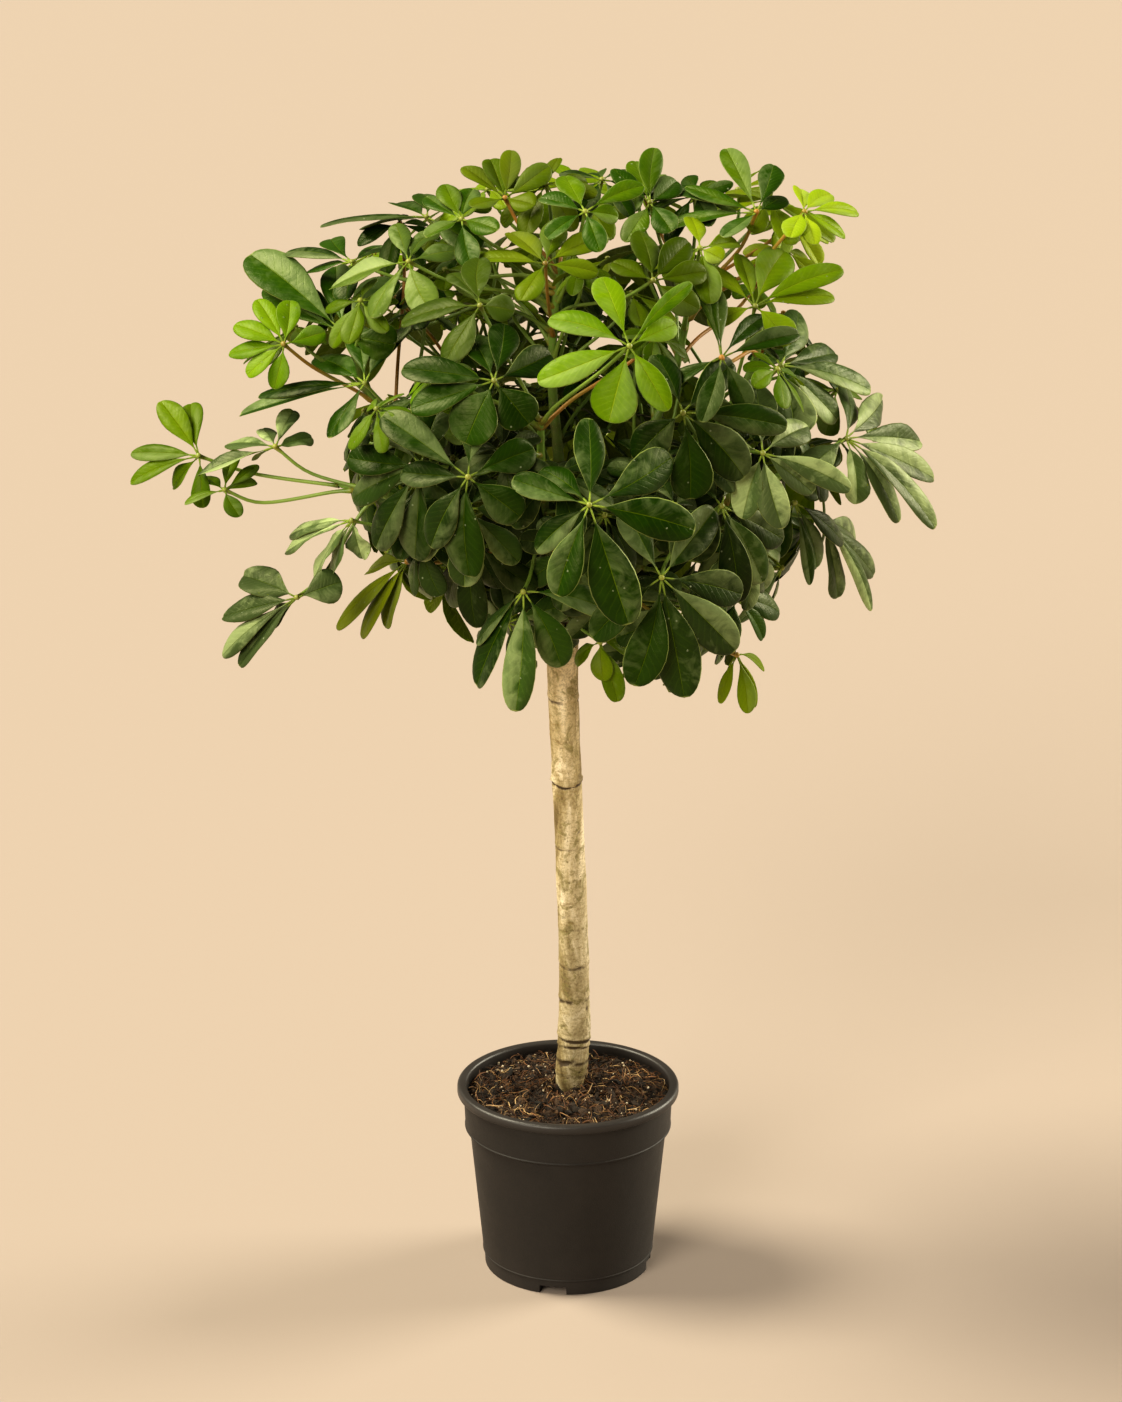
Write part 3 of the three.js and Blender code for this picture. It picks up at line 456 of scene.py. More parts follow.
# Height, height of the ridge, half its width, and how dark the ring is.
LEAF_RINGS = [
    (485, 1.6, 2.0, 1.35), (421, 0.35, 2.0, 0.45), (381, 0.2, 2.2, 0.2), (338, 0.25, 2.5, 0.3),
    (302, 0.5, 3.0, 0.5), (267, 0.5, 3.5, 0.55), (226, 0.9, 2.4, 1.0), (218, 0.8, 2.0, 0.9),
    (204, 0.4, 3.5, 0.5), (187, 0.5, 3.0, 0.35), (528, 0.25, 2.0, 0.3), (566, 0.6, 3.0, 0.55),
    (604, 0.4, 2.5, 0.4), (640, 0.8, 3.0, 0.6), (668, 0.8, 3.0, 0.5),
]
# Height, turn, half height, half width and darkness of the small scars between them.
BARK_SCARS = [
    (203, 2.75, 2.4, 6.5, 1.7), (199, 2.45, 1.5, 2.2, 0.8), (187, 2.9, 1.4, 1.6, 0.7),
    (194, 3.7, 1.4, 1.8, 0.6), (301, 3.5, 2.4, 5.0, 0.55), (352, 2.5, 2.2, 5.5, 0.35),
    (437, 3.9, 2.0, 3.2, 0.5), (520, 2.8, 1.8, 4.0, 0.45), (258, 4.1, 4.5, 1.6, 0.7),
    (330, 4.25, 7.0, 1.2, 0.6), (395, 4.2, 5.0, 1.2, 0.5), (545, 3.3, 1.6, 3.0, 0.5),
    (590, 2.6, 2.0, 4.0, 0.5), (240, 2.3, 2.0, 3.0, 0.4), (278, 0.6, 2.0, 5.0, 0.5),
    (372, 5.6, 2.4, 5.0, 0.5), (455, 0.1, 2.0, 4.5, 0.5), (505, 1.5, 2.2, 4.0, 0.5),
]
SCAR_DEPTH = 0.9
# The foot swells at the soil and is narrower under it.
FOOT_SWELL_HEIGHT, FOOT_NARROW_HEIGHT = 199, 166
TRUNK_END_WIDTH = 30
trunk_rings = rings("trunk", lambda places: places[:, 2].argmin(), TRUNK_END_WIDTH)
trunk_line, trunk_ways, _ = smooth_line([ring.mean(axis=0) for ring in trunk_rings], TRUNK_RINGS)
ring_heights = [ring.mean(axis=0)[2] for ring in trunk_rings]
ring_radii = [length_of(ring - ring.mean(axis=0)).mean() for ring in trunk_rings]
heights = trunk_line[:, 2]
turns = np.arange(TRUNK_SIDES) * math.tau / TRUNK_SIDES
trunk_radii = np.repeat(np.interp(heights, ring_heights, ring_radii)[:, None], TRUNK_SIDES, axis=1)
ring_dark = np.zeros_like(trunk_radii)
# A ring wanders up and down round the trunk. It is a ridge with a groove under it.
for height, ridge, width, dark in LEAF_RINGS:
    wander = height + 1.6 * np.sin(turns + height) + 0.9 * np.sin(2 * turns - height)
    off = (heights[:, None] - wander[None, :]) / width
    trunk_radii += ridge * (np.exp(-((off - 0.7) ** 2) * 2) - 0.8 * np.exp(-((off + 0.5) ** 2) * 5))
    ring_dark = np.maximum(ring_dark, dark * np.exp(-((off + 0.25) ** 2) * 1.6))
# A scar is a slanting dent.
for height, turn, tall, wide, dark in BARK_SCARS:
    round_trunk = off_turn(turns, turn) * trunk_radii.mean()
    wander = height + 0.35 * round_trunk
    off = ((heights[:, None] - wander[None, :]) / tall) ** 2 + (round_trunk[None, :] / wide) ** 2
    trunk_radii -= SCAR_DEPTH * dark * np.exp(-off)
    ring_dark = np.maximum(ring_dark, dark * np.exp(-off))
foot_swell = 0.9 * np.exp(-((heights - FOOT_SWELL_HEIGHT) / 9) ** 2)
foot_swell -= 2.6 * np.exp(-((heights - FOOT_NARROW_HEIGHT) / 14) ** 2)
trunk_radii += foot_swell[:, None] * (1 + 0.45 * np.sin(3 * turns + 0.6))


def unevenness(busy, tall):
    """Chance bumps over the trunk: how many there are round it, and how tall they are."""
    round_turns = [(math.cos(a) * busy, math.sin(a) * busy) for a in turns]
    rows = [[blender_noise.noise(Vector((x, y, h / tall))) for x, y in round_turns] for h in heights]
    return np.array(rows)


trunk_radii += 0.55 * unevenness(1.4, 26) + 0.22 * unevenness(3, 3.5)
trunk_points, trunk_faces = tube(trunk_line, trunk_ways, trunk_radii, TRUNK_SIDES)


def mark(thing, name, kind, domain, values):
    """Gives each corner of a mesh, or of each of its faces, one or three numbers for a material to read."""
    attribute = thing.data.attributes.new(name, kind, domain)
    attribute.data.foreach_set("value" if kind == "FLOAT" else "vector", np.ravel(values))


trunk = build("trunk_with_leaf_rings", trunk_points, trunk_faces)
mark(trunk, "ring", "FLOAT", "POINT", [0, *ring_dark.ravel(), 0])

bark, place = finish("pale_bark")
level = place.stretched(1, 1, 3.5)
blotch = place.stretched(1, 1, 0.3).noise(30, 5, 0.62, 0.9)
colour = blotch.ramp(
    (0.34, (0.140, 0.098, 0.036)), (0.44, (0.30, 0.235, 0.115)),
    (0.53, (0.49, 0.41, 0.255)), (0.62, (0.70, 0.62, 0.46)),
)
lichen = place.noise(46, 6, 0.68, 1.2).ramp((0.53, 0.0), (0.60, 0.8))
colour = colour.mixed((0.21, 0.175, 0.062), lichen)
streaks = level.noise(75, 5, 0.7).ramp((0.56, 0.0), (0.66, 0.6))
colour = colour.mixed((0.23, 0.155, 0.05), streaks)
to_pore, _ = place.stretched(1, 1, 1.7).cells(150)
pores = (to_pore + place.noise(90) * 0.55).ramp((0.29, 1.0), (0.36, 0.0))
colour = colour.mixed((0.085, 0.055, 0.02), pores * 0.8)
speckle = place.noise(420, 4, 0.75)
speckle = speckle.ramp((0.38, (0.70, 0.67, 0.58)), (0.50, (1.0, 1.0, 0.98)), (0.66, (1.18, 1.18, 1.16)))
rise = place.split()[2]
# Higher up the bark is painted paler: partly as younger bark is paler, partly painted light against the
# crown's shade on the trunk's top.
paler_up_and_painted_light = rise.ramp((0.30, (1.0, 1.0, 1.0)), (0.48, (1.25, 1.22, 1.2)), (0.62, (1.6, 1.55, 1.5)))
broken = place.noise(55, 4, 0.65).ramp((0.38, 0.25), (0.56, 1.25))
ring_line = (place.stored("ring") * broken).ramp((0.22, 0.0), (0.62, 0.95))
colour = colour.times(speckle).times(paler_up_and_painted_light).mixed((0.050, 0.028, 0.010), ring_line)
relief = level.noise(210, 5, 0.65) * 1.4 - pores * 0.5
dress(bark, colour, blotch.ramp((0.3, 0.74), (0.7, 0.56)), relief, 0.0007, 0.55)
trunk.data.materials.append(bark)
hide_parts("trunk")
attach(trunk, "root")

# ---------------------------------------------------------------------------------------------
# The stems: nine green branches that spring from the top of the trunk. They are as thick as a
# finger, brownish at the foot, and knobbly where leaves are or were.
# ---------------------------------------------------------------------------------------------
STEM_SIDES, CAD_STEM_SIDES = 16, 6
STEM_END_WIDTH = 7.5
STEM_STEP = 2.6
ROOT_BELOW = 7
# A stem is a little slimmer than its CAD stem, but wider at its foot: by how much, and how far up.
SLIMMER, FOOT_WIDER, FOOT_LENGTH = 0.96, 2.4, 16
FIRST_KNOT, KNOT_SPACING, KNOT_LENGTH, KNOT_HEIGHT = 22, 17, 2.6, 0.9

green_stem, place = finish("green_stem")
young = place.stored("age") + place.noise(40, 5, 0.6) * 0.7
colour = young.ramp((0.35, (0.27, 0.22, 0.085)), (0.7, (0.17, 0.23, 0.05)), (1.0, (0.20, 0.34, 0.05)))
colour = colour.mixed((0.13, 0.085, 0.035), place.stored("knot") * 0.6)
to_dot, _ = place.cells(380)
colour = colour.mixed((0.36, 0.28, 0.12), to_dot.ramp((0.1, 0.7), (0.24, 0.0)))
rough = place.noise(90).ramp((0.3, 0.42), (0.7, 0.6))
dress(green_stem, colour, rough, place.noise(300, 4), 0.0004, 0.5)

# Each stem follows the middle of its CAD stem, and starts inside the trunk, a little under the cut
# where the CAD stem ends. The cut is the only ring of that stem with more than six corners.
stem_lines = {}
for node in [name for name in frame["nodes"] if name.startswith("stem_")]:
    found = rings(node, lambda places: length_of(places - trunk_line[-1]).argmax(), STEM_END_WIDTH)
    tube_rings = [ring for ring in found if len(ring) == CAD_STEM_SIDES][::-1]
    knots = [ring.mean(axis=0) for ring in tube_rings]
    thick = [length_of(ring - ring.mean(axis=0)).mean() for ring in tube_rings]
    cut = found[-1 if len(found[-1]) > CAD_STEM_SIDES else -2].mean(axis=0)
    root = trunk_line[length_of(trunk_line - cut + (0, 0, ROOT_BELOW)).argmin()]
    total = length_of(np.diff([root, *knots], axis=0)).sum()
    line, ways, gone = smooth_line([root, cut, *knots], int(total / STEM_STEP))
    stem_lines[node] = line
    radii = np.interp(gone, np.linspace(0, gone[-1], len(thick)), thick)
    radii = radii * SLIMMER + FOOT_WIDER * np.exp(-gone / FOOT_LENGTH)
    turns = np.arange(STEM_SIDES) * math.tau / STEM_SIDES
    radii = np.repeat(radii[:, None], STEM_SIDES, axis=1)
    knobs = np.zeros_like(radii)
    for i, spot in enumerate(np.arange(FIRST_KNOT, gone[-1], KNOT_SPACING)):
        one_sided = 0.35 + 0.65 * np.maximum(0, np.cos(turns - 2.4 * i)) ** 2
        knobs = np.maximum(knobs, np.exp(-(((gone[:, None] - spot) / KNOT_LENGTH) ** 2)) * one_sided)
    radii += KNOT_HEIGHT * knobs
    radii[-1] *= 0.55
    radii[-2] *= 0.85
    points, faces = tube(line, ways, radii, STEM_SIDES)
    stem = build(node.replace("stem", "green_stem"), points, faces, green_stem)
    mark(stem, "age", "FLOAT", "POINT", [0, *np.repeat(gone / gone[-1], STEM_SIDES), 1])
    mark(stem, "knot", "FLOAT", "POINT", [0, *knobs.ravel(), 0])
    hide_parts(node)
    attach(stem, "root")

# ---------------------------------------------------------------------------------------------
# The soil: a peat and bark mix that fills the pot to just under the rim. Shredded bark fibres lie
# tangled on top of it, with dark crumbs and chips between them and a few white perlite grains.
# ---------------------------------------------------------------------------------------------
SOIL_AT_WALL, SOIL_AT_TRUNK = 171.2, 174.6
SOIL_RADIUS = 96.2
SOIL_SIDES, SOIL_RINGS = 168, 64
CLEAR = 0.4
# The lumps of the soil: their height, their spread and the layer of noise that they come from. They
# fade out at the pot's wall.
SOIL_LUMPS = [(4.4, 17, 0), (5.6, 6.5, 9), (1.5, 2.6, 5)]
LUMPS_FADE = 6
HOLLOW_DEPTH, HOLLOW_RADIUS, HOLLOW_WIDTH = 3, 17, 5
TRUNK_FOOT_HEIGHT = 174
SHADED_HEIGHT = 8

trunk_foot = trunk_line[np.abs(heights - TRUNK_FOOT_HEIGHT).argmin()]


def soil_height(x, y):
    """The height of the soil's surface, hollowed a little round the trunk."""
    out = math.hypot(x, y)
    from_trunk = math.hypot(x - trunk_foot[0], y - trunk_foot[1])
    lumps = sum(tall * blender_noise.noise(Vector((x, y, layer)) / wide) for tall, wide, layer in SOIL_LUMPS)
    lumps *= min(1, max(0, (SOIL_RADIUS - out) / LUMPS_FADE))
    slope = (SOIL_AT_WALL - SOIL_AT_TRUNK) * (out / SOIL_RADIUS) ** 1.5
    hollow = HOLLOW_DEPTH * math.exp(-(((from_trunk - HOLLOW_RADIUS) / HOLLOW_WIDTH) ** 2))
    return SOIL_AT_TRUNK + slope + lumps - hollow


# The soil's outline follows the inside of the pot. SURFACE stands in for the height of its surface.
SURFACE = 180
soil_outline = [(0, WALL + CLEAR), (CHANNEL_INNER - 1.4 - CLEAR, WALL + CLEAR)]
soil_outline += [(CHANNEL_INNER + 1.6 - CLEAR, CHANNEL_HEIGHT + WALL + CLEAR)]
soil_outline += [(FOOT_RADIUS - WALL - CLEAR, CHANNEL_HEIGHT + WALL + CLEAR)]
soil_outline += [(BODY_TOP - WALL - CLEAR, COLLAR_FOOT_HEIGHT - 4)]
soil_outline += [(COLLAR_FOOT - WALL - CLEAR, COLLAR_FOOT_HEIGHT)]
soil_outline += [(radius, SURFACE) for radius in np.linspace(SOIL_RADIUS, 0, SOIL_RINGS)]
soil_points, soil_faces = lathe(soil_outline, np.linspace(0, math.tau, SOIL_SIDES, endpoint=False))
soil_points = [(x, y, soil_height(x, y)) if z == SURFACE else (x, y, z) for x, y, z in soil_points]

peat, place = finish("peat")
# Low spots of the soil are painted darker and high ones paler: painted shade in the hollows. The noise gives
# the clods.
rise = place.split()[2] * (1 / (SHADED_HEIGHT * MM)) + (0.3 - SOIL_AT_WALL / SHADED_HEIGHT)
clods_and_hollow_shade = place.noise(95, 6, 0.7) * 0.7 + rise * 0.35
colour = clods_and_hollow_shade.ramp(
    (0.40, (0.004, 0.002, 0.001)), (0.56, (0.016, 0.009, 0.004)), (0.72, (0.060, 0.032, 0.014)),
)
relief = place.noise(420, 5, 0.75) + clods_and_hollow_shade * 2.0
dress(peat, colour, clods_and_hollow_shade.ramp((0.3, 0.95), (0.7, 0.82)), relief, 0.0016, 0.9)
soil = build("potting_soil", soil_points, soil_faces, peat)
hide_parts("soil")
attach(soil, "root")

draws = random.Random(7)
FIBRE_RINGS, FIBRE_SIDES = 7, 4
# How far a fibre's middle bows, and how far it twists out of that bow.
FIBRE_BENDS = [(0.1, 0.05), (0.6, 0.08), (1.1, -0.07), (-0.8, 0.12), (1.6, 0.06), (0.35, -0.16)]
# What is strewn on the soil keeps this far from the trunk's middle, and inside the pot's wall.
TRUNK_ROOM, STREWN_RADIUS = 16.5, 95.5
# The disc that it is strewn on: its reach, the step between its rings, and its sides.
STREWN_OVER, STREWN_STEP, STREWN_SIDES = 97, 4, 60


def fibre_shape(name, bow, twist):
    """A thin bent fibre of bark, one unit long, tapered at its ends."""
    spots = np.linspace(-0.5, 0.5, FIBRE_RINGS)
    line = np.stack([spots, bow * (0.25 - spots**2) * 1.6, twist * np.sin(spots * 5)], axis=1)
    ways = np.gradient(line, axis=0)
    ways /= length_of(ways)[:, None]
    thick = 0.021 * (1 - 0.55 * np.abs(spots * 2) ** 2.2)[:, None] * np.array([1.35, 0.6, 1.1, 0.5])
    points, faces = tube(line, ways, thick, FIBRE_SIDES, (0, 0, 1))
    return build(name, np.array(points) / MM, faces, smooth=False)


def crumb_shape(name, flat, rough):
    """A small broken grain, one unit across."""
    grain = bmesh.new()
    bmesh.ops.create_icosphere(grain, subdivisions=1, radius=0.5)
    for corner in grain.verts:
        corner.co *= 1 + draws.uniform(-rough, rough)
        corner.co.z *= flat
    mesh = bpy.data.meshes.new(name)
    grain.to_mesh(mesh)
    return linked(bpy.data.objects.new(name, mesh))


def scatter(name, shapes, material, density, smallest, largest, tilt, lift, seed):
    """Geometry nodes that strew copies of the shapes over the soil, worked into one plain mesh."""
    kinds = bpy.data.collections.new(name + "_shapes")
    for shape in shapes:
        bpy.context.scene.collection.objects.unlink(shape)
        kinds.objects.link(shape)
    sizes = {
        "Density": ("Float", density), "Smallest": ("Float", smallest), "Largest": ("Float", largest),
        "Tilt": ("Float", tilt), "Lift": ("Float", lift),
        "Shapes": ("Collection", kinds), "Material": ("Material", material),
    }
    group = bpy.data.node_groups.new(name, "GeometryNodeTree")
    group.interface.new_socket("Geometry", in_out="INPUT", socket_type="NodeSocketGeometry")
    group.interface.new_socket("Geometry", in_out="OUTPUT", socket_type="NodeSocketGeometry")
    sockets = {}
    for label, (kind, _) in sizes.items():
        made = group.interface.new_socket(label, in_out="INPUT", socket_type="NodeSocket" + kind)
        sockets[label] = made.identifier

    given = add(group, "NodeGroupInput").outputs
    spread = add(group, "GeometryNodeDistributePointsOnFaces", {
        "Mesh": given["Geometry"], "Density": given["Density"], "Seed": seed,
    })
    raised = add(group, "ShaderNodeCombineXYZ", {2: given["Lift"]})
    moved = add(group, "GeometryNodeSetPosition", {
        "Geometry": spread.outputs["Points"], "Offset": raised.outputs[0],
    })
    lean = add(group, "ShaderNodeCombineXYZ", {0: given["Tilt"], 1: given["Tilt"], 2: math.pi})
    back = add(group, "ShaderNodeVectorMath", {0: lean.outputs[0], "Scale": -1.0}, operation="SCALE")
    turn = add(group, "FunctionNodeRandomValue", {
        0: back.outputs[0], 1: lean.outputs[0], "Seed": seed + 1,
    }, data_type="FLOAT_VECTOR")
    way = add(group, "FunctionNodeRotateRotation", {
        0: spread.outputs["Rotation"], 1: turn.outputs[0],
    }, rotation_space="LOCAL")
    chance = add(group, "FunctionNodeRandomValue", {2: 0.0, 3: 1.0, "Seed": seed + 2}, data_type="FLOAT")
    small_more = add(group, "ShaderNodeMath", {0: chance.outputs[1], 1: 1.9}, operation="POWER")
    size = add(group, "ShaderNodeMapRange", {
        "Value": small_more.outputs[0], "To Min": given["Smallest"], "To Max": given["Largest"],
    })
    kind = add(group, "GeometryNodeCollectionInfo", {
        "Collection": given["Shapes"], "Separate Children": True, "Reset Children": True,
    })
    laid = add(group, "GeometryNodeInstanceOnPoints", {
        "Points": moved.outputs[0], "Instance": kind.outputs[0], "Pick Instance": True,
        "Rotation": way.outputs[0], "Scale": size.outputs[0],
    })
    shade = add(group, "FunctionNodeRandomValue", {2: 0.0, 3: 1.0, "Seed": seed + 3}, data_type="FLOAT")
    tinted = add(group, "GeometryNodeStoreNamedAttribute", {
        "Geometry": laid.outputs[0], "Name": "shade", "Value": shade.outputs[1],
    }, domain="INSTANCE")
    real = add(group, "GeometryNodeRealizeInstances", {"Geometry": tinted.outputs[0]})
    coated = add(group, "GeometryNodeSetMaterial", {
        "Geometry": real.outputs[0], "Material": given["Material"],
    })
    add(group, "NodeGroupOutput", {0: coated.outputs[0]})

    around = np.linspace(0, math.tau, STREWN_SIDES, endpoint=False)
    spots = [(r * math.cos(a), r * math.sin(a)) for r in range(0, STREWN_OVER, STREWN_STEP) for a in around]
    squares = []
    for low in range(0, len(spots) - STREWN_SIDES, STREWN_SIDES):
        for i in range(STREWN_SIDES):
            high, j = low + STREWN_SIDES, (i + 1) % STREWN_SIDES
            squares.append((low + i, high + i, high + j, low + j))
    strewn = build(name, [(x, y, soil_height(x, y)) for x, y in spots], squares)
    nodes = strewn.modifiers.new("strew", "NODES")
    nodes.node_group = group
    for label, (_, value) in sizes.items():
        nodes[sockets[label]] = value
    settle(strewn)
    corners_each = len(shapes[0].data.vertices)
    for shape in shapes:
        bpy.data.objects.remove(shape)
    bpy.data.collections.remove(kinds)

    # What reaches into the trunk or the pot's wall is moved out of it, each piece as a whole.
    places = np.empty(len(strewn.data.vertices) * 3)
    strewn.data.vertices.foreach_get("co", places)
    places = places.reshape(-1, corners_each, 3) / MM
    for centre, limit, way in ((trunk_foot[:2], TRUNK_ROOM, 1), (np.zeros(2), STREWN_RADIUS, -1)):
        off = places[:, :, :2] - centre
        away = length_of(off) * way
        outward = off.mean(axis=1) / length_of(off.mean(axis=1))[:, None]
        short = np.maximum(0, limit * way - away.min(axis=1))
        places[:, :, :2] += way * (outward * short[:, None])[:, None]
    strewn.data.vertices.foreach_set("co", (places * MM).ravel())
    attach(strewn, "root")


bark_fibre, place = finish("bark_fibre")
shade = place.stored("shade") * 0.85 + place.noise(160, 4) * 0.3
colour = shade.ramp(
    (0.32, (0.009, 0.004, 0.0015)), (0.60, (0.056, 0.021, 0.006)),
    (0.86, (0.22, 0.092, 0.029)), (1.0, (0.62, 0.42, 0.19)),
)
dress(bark_fibre, colour, shade.ramp((0.2, 0.85), (0.9, 0.62)), place.noise(700), 0.0003, 0.6)
crumb, place = finish("soil_crumb")
shade = place.stored("shade") * 0.8 + place.noise(260, 4) * 0.35
colour = shade.ramp((0.2, (0.005, 0.003, 0.001)), (0.7, (0.026, 0.014, 0.006)), (0.98, (0.12, 0.062, 0.026)))
dress(crumb, colour, shade.ramp((0.2, 0.95), (0.9, 0.75)), place.noise(800, 4), 0.0004, 0.7)
perlite, place = finish("perlite")
shade = place.noise(500, 4)
colour = shade.ramp((0.35, (0.42, 0.33, 0.21)), (0.6, (0.74, 0.63, 0.46)))
dress(perlite, colour, shade.ramp((0.3, 0.9), (0.7, 0.7)), shade, 0.0003, 0.8)

# What scatter takes after the shapes: the finish, the number on a square metre, the smallest and the
# largest in metres, the most that they tilt, how far they lie above the soil in metres, and the seed.
fibres = [fibre_shape(f"fibre_{i}", *bends) for i, bends in enumerate(FIBRE_BENDS)]
scatter("bark_fibres", fibres, bark_fibre, 82000, 0.004, 0.022, 0.8, 0.0016, 11)
# The name, the kind of grain, how flat each shape of it is, how rough it is, and then the same.
for name, kind, flats, rough, *rest in (
    ("soil_crumbs", "crumb", (0.9, 0.7, 0.55), 0.28, crumb, 90000, 0.0009, 0.0042, 3.0, 0.0002, 23),
    ("bark_chips", "chip", (0.5, 0.35, 0.25), 0.32, crumb, 4800, 0.004, 0.013, 0.9, 0.0016, 37),
    ("perlite_grains", "grain", (0.9, 0.75), 0.15, perlite, 2400, 0.0010, 0.0030, 3.0, 0.0028, 51),
):
    scatter(name, [crumb_shape(f"{kind}_{i}", flat, rough) for i, flat in enumerate(flats)], *rest)

# ---------------------------------------------------------------------------------------------
# The leaves: a long green stalk with a wheel of leathery leaflets at its end. Each leaflet is
# folded along its midrib, curls down at its margin and hangs from a thin pale stalk of its own.
# ---------------------------------------------------------------------------------------------
# Where along it a CAD leaflet has its two rings of corners, and how wide it is there, as a share of
# its full width. The leaflets here are a little wider than those.
NEAR, FAR = 0.43, 0.79
NEAR_WIDTH, FAR_WIDTH = 0.86, 0.93
WIDER = 1.1
# Distances that tell the corners of a CAD leaf apart: how near together they are at the hub, how far
# from it tips and stalks lie, the least width and the most thickness of a leaflet's ring, and how
# near together the corners of one ring of the stalk are.
HUB_CROWD, HUB_REACH = 6, 9
TIP_AWAY, STALK_AWAY = 18, 28
LEAST_WIDTH, MOST_THICKNESS = 7, 3
STALK_RING = 7
STALK_SIDES, STALK_STEP, STALK_RADIUS = 8, 7, 1.75
STALK_FOOT_WIDER, STALK_FOOT_LENGTH = 1.7, 9
# How much of a leaflet is its own thin stalk, and then the shares of its length and of half its width
# at which it has rows and columns of corners, for leaves at the front, at the back and inside.
BLADE_START = 0.13
FINE_ROWS = [0.05, 0.115, 0.145, 0.19, 0.26, 0.36, 0.47, 0.58, 0.69, 0.79, 0.87, 0.93, 0.968, 0.99]
FINE_COLUMNS = [-1, -0.93, -0.62, -0.3, 0, 0.3, 0.62, 0.93, 1]
PLAIN_ROWS = [0.06, 0.12, 0.17, 0.28, 0.42, 0.57, 0.72, 0.85, 0.94, 0.985]
PLAIN_COLUMNS = [-1, -0.9, -0.45, 0, 0.45, 0.9, 1]
INNER_ROWS = [0.06, 0.125, 0.20, 0.40, 0.62, 0.82, 0.95]
INNER_COLUMNS = [-1, -0.55, 0, 0.55, 1]

# The least and the most of what differs between leaflets: where along it a leaflet is broadest, how
# full its outline is, how much it is folded and curled at the margin, its ripples and their pace,
# how far its tip leans aside and sags, and how much wider one half is.
BROADEST, FULL = (0.57, 0.69), (0.40, 0.50)
FOLD, CURL = (0.20, 0.50), (0.16, 0.42)
RIPPLE, PACE = (0.0, 0.085), (7, 12)
LEAN, SAG, UNEVEN = (-0.035, 0.035), (0.0, 0.05), (-0.07, 0.07)
# Half the thickness of a leaflet's own stalk, and of its blade.
HALF_STALK, HALF_BLADE = 0.8, 0.34
# How much of a leaflet, after its stalk, it takes to get its full fold.
FOLDING = 0.12
# The knob at the hub: the radii of its rings, and how far they lie beyond the stalk's end.
STALK_END_RADIUS, KNOB_RADII, KNOB_RISES = 2.3, (2.7, 2.5, 1.2), (0.6, 1.8, 2.8)


def span(places, ring):
    """The vector between the two corners of a ring that lie furthest apart, its middle, and the others."""
    pairs = [(a, b) for a in ring for b in ring if a < b]
    left, right = max(pairs, key=lambda pair: length_of(places[pair[0]] - places[pair[1]]))
    rest = [corner for corner in ring if corner not in (left, right)]
    return places[right] - places[left], (places[left] + places[right]) / 2, places[rest]


def read_leaf(node):
    """A CAD leaf's hub, the points of its stalk from the stem, and the lines and widths of its leaflets.

    The hub is where the corners crowd. A leaflet ends in a tip that is joined to a ring of four
    corners, and that to a second ring. Corners left over away from the hub are the stalk's.
    """
    places, joined = corners(node)
    hub = places[int(np.argmax([(length_of(places - place) < HUB_CROWD).sum() for place in places]))]
    for _ in range(6):
        hub = places[length_of(places - hub) < HUB_REACH].mean(axis=0)
    away = length_of(places - hub)
    leaflets, used = [], set()
    for tip in np.flatnonzero(away > TIP_AWAY).tolist():
        ring = joined[tip]
        inner = {other for corner in ring for other in joined[corner]} - ring - {tip}
        if len(ring) != 4 or len(inner) != 4 or max(away[list(ring)]) > away[tip]:
            continue
        far_side, far_edge, far_rest = span(places, ring)
        near_side, near_edge, near_rest = span(places, inner)
        if length_of(far_side) < LEAST_WIDTH or length_of(far_rest[0] - far_rest[1]) > MOST_THICKNESS:
            continue
        near_side = near_side if near_side.dot(far_side) > 0 else -near_side
        knots = np.array([hub, near_rest.mean(axis=0), far_rest.mean(axis=0), places[tip]])
        up = near_edge + far_edge - knots[1] - knots[2]
        half = (length_of(near_side) / NEAR_WIDTH + length_of(far_side) / FAR_WIDTH) / 4
        leaflets.append((knots, near_side, far_side, up, half))
        used |= ring | inner | {tip}
    left_over = set(np.flatnonzero(away > STALK_AWAY).tolist()) - used
    groups = []
    for corner in sorted(left_over, key=lambda corner: away[corner]):
        near = [group for group in groups if length_of(places[group] - places[corner]).min() < STALK_RING]
        if near:
            near[0].append(corner)
        else:
            groups.append([corner])
    stalk = [places[group].mean(axis=0) for group in groups if len(group) > 3][::-1]
    return hub, stalk, leaflets


def weave(rows, columns):
    """The faces of a closed blade, and the row, the column and the side of each face's corners."""
    def top(row, column):
        return 2 + row * columns + column

    def under(row, column):
        inside = 0 < column < columns - 1
        return 2 + rows * columns + row * (columns - 2) + column - 1 if inside else top(row, column)

    faces, places = [], []
    for column in range(columns - 1):
        a, b = column, column + 1
        for below, at in ((0, top), (1, under)):
            panels = [[(-1, a), (0, b), (0, a)], [(rows - 1, a), (rows - 1, b), (rows, b)]]
            panels += [[(row, a), (row, b), (row + 1, b), (row + 1, a)] for row in range(rows - 1)]
            for panel in panels:
                panel = panel[::-1] if below else panel
                faces.append(tuple(0 if r < 0 else 1 if r == rows else at(r, c) for r, c in panel))
                places += [(r + 1, c, below) for r, c in panel]
    return faces, np.array(places)


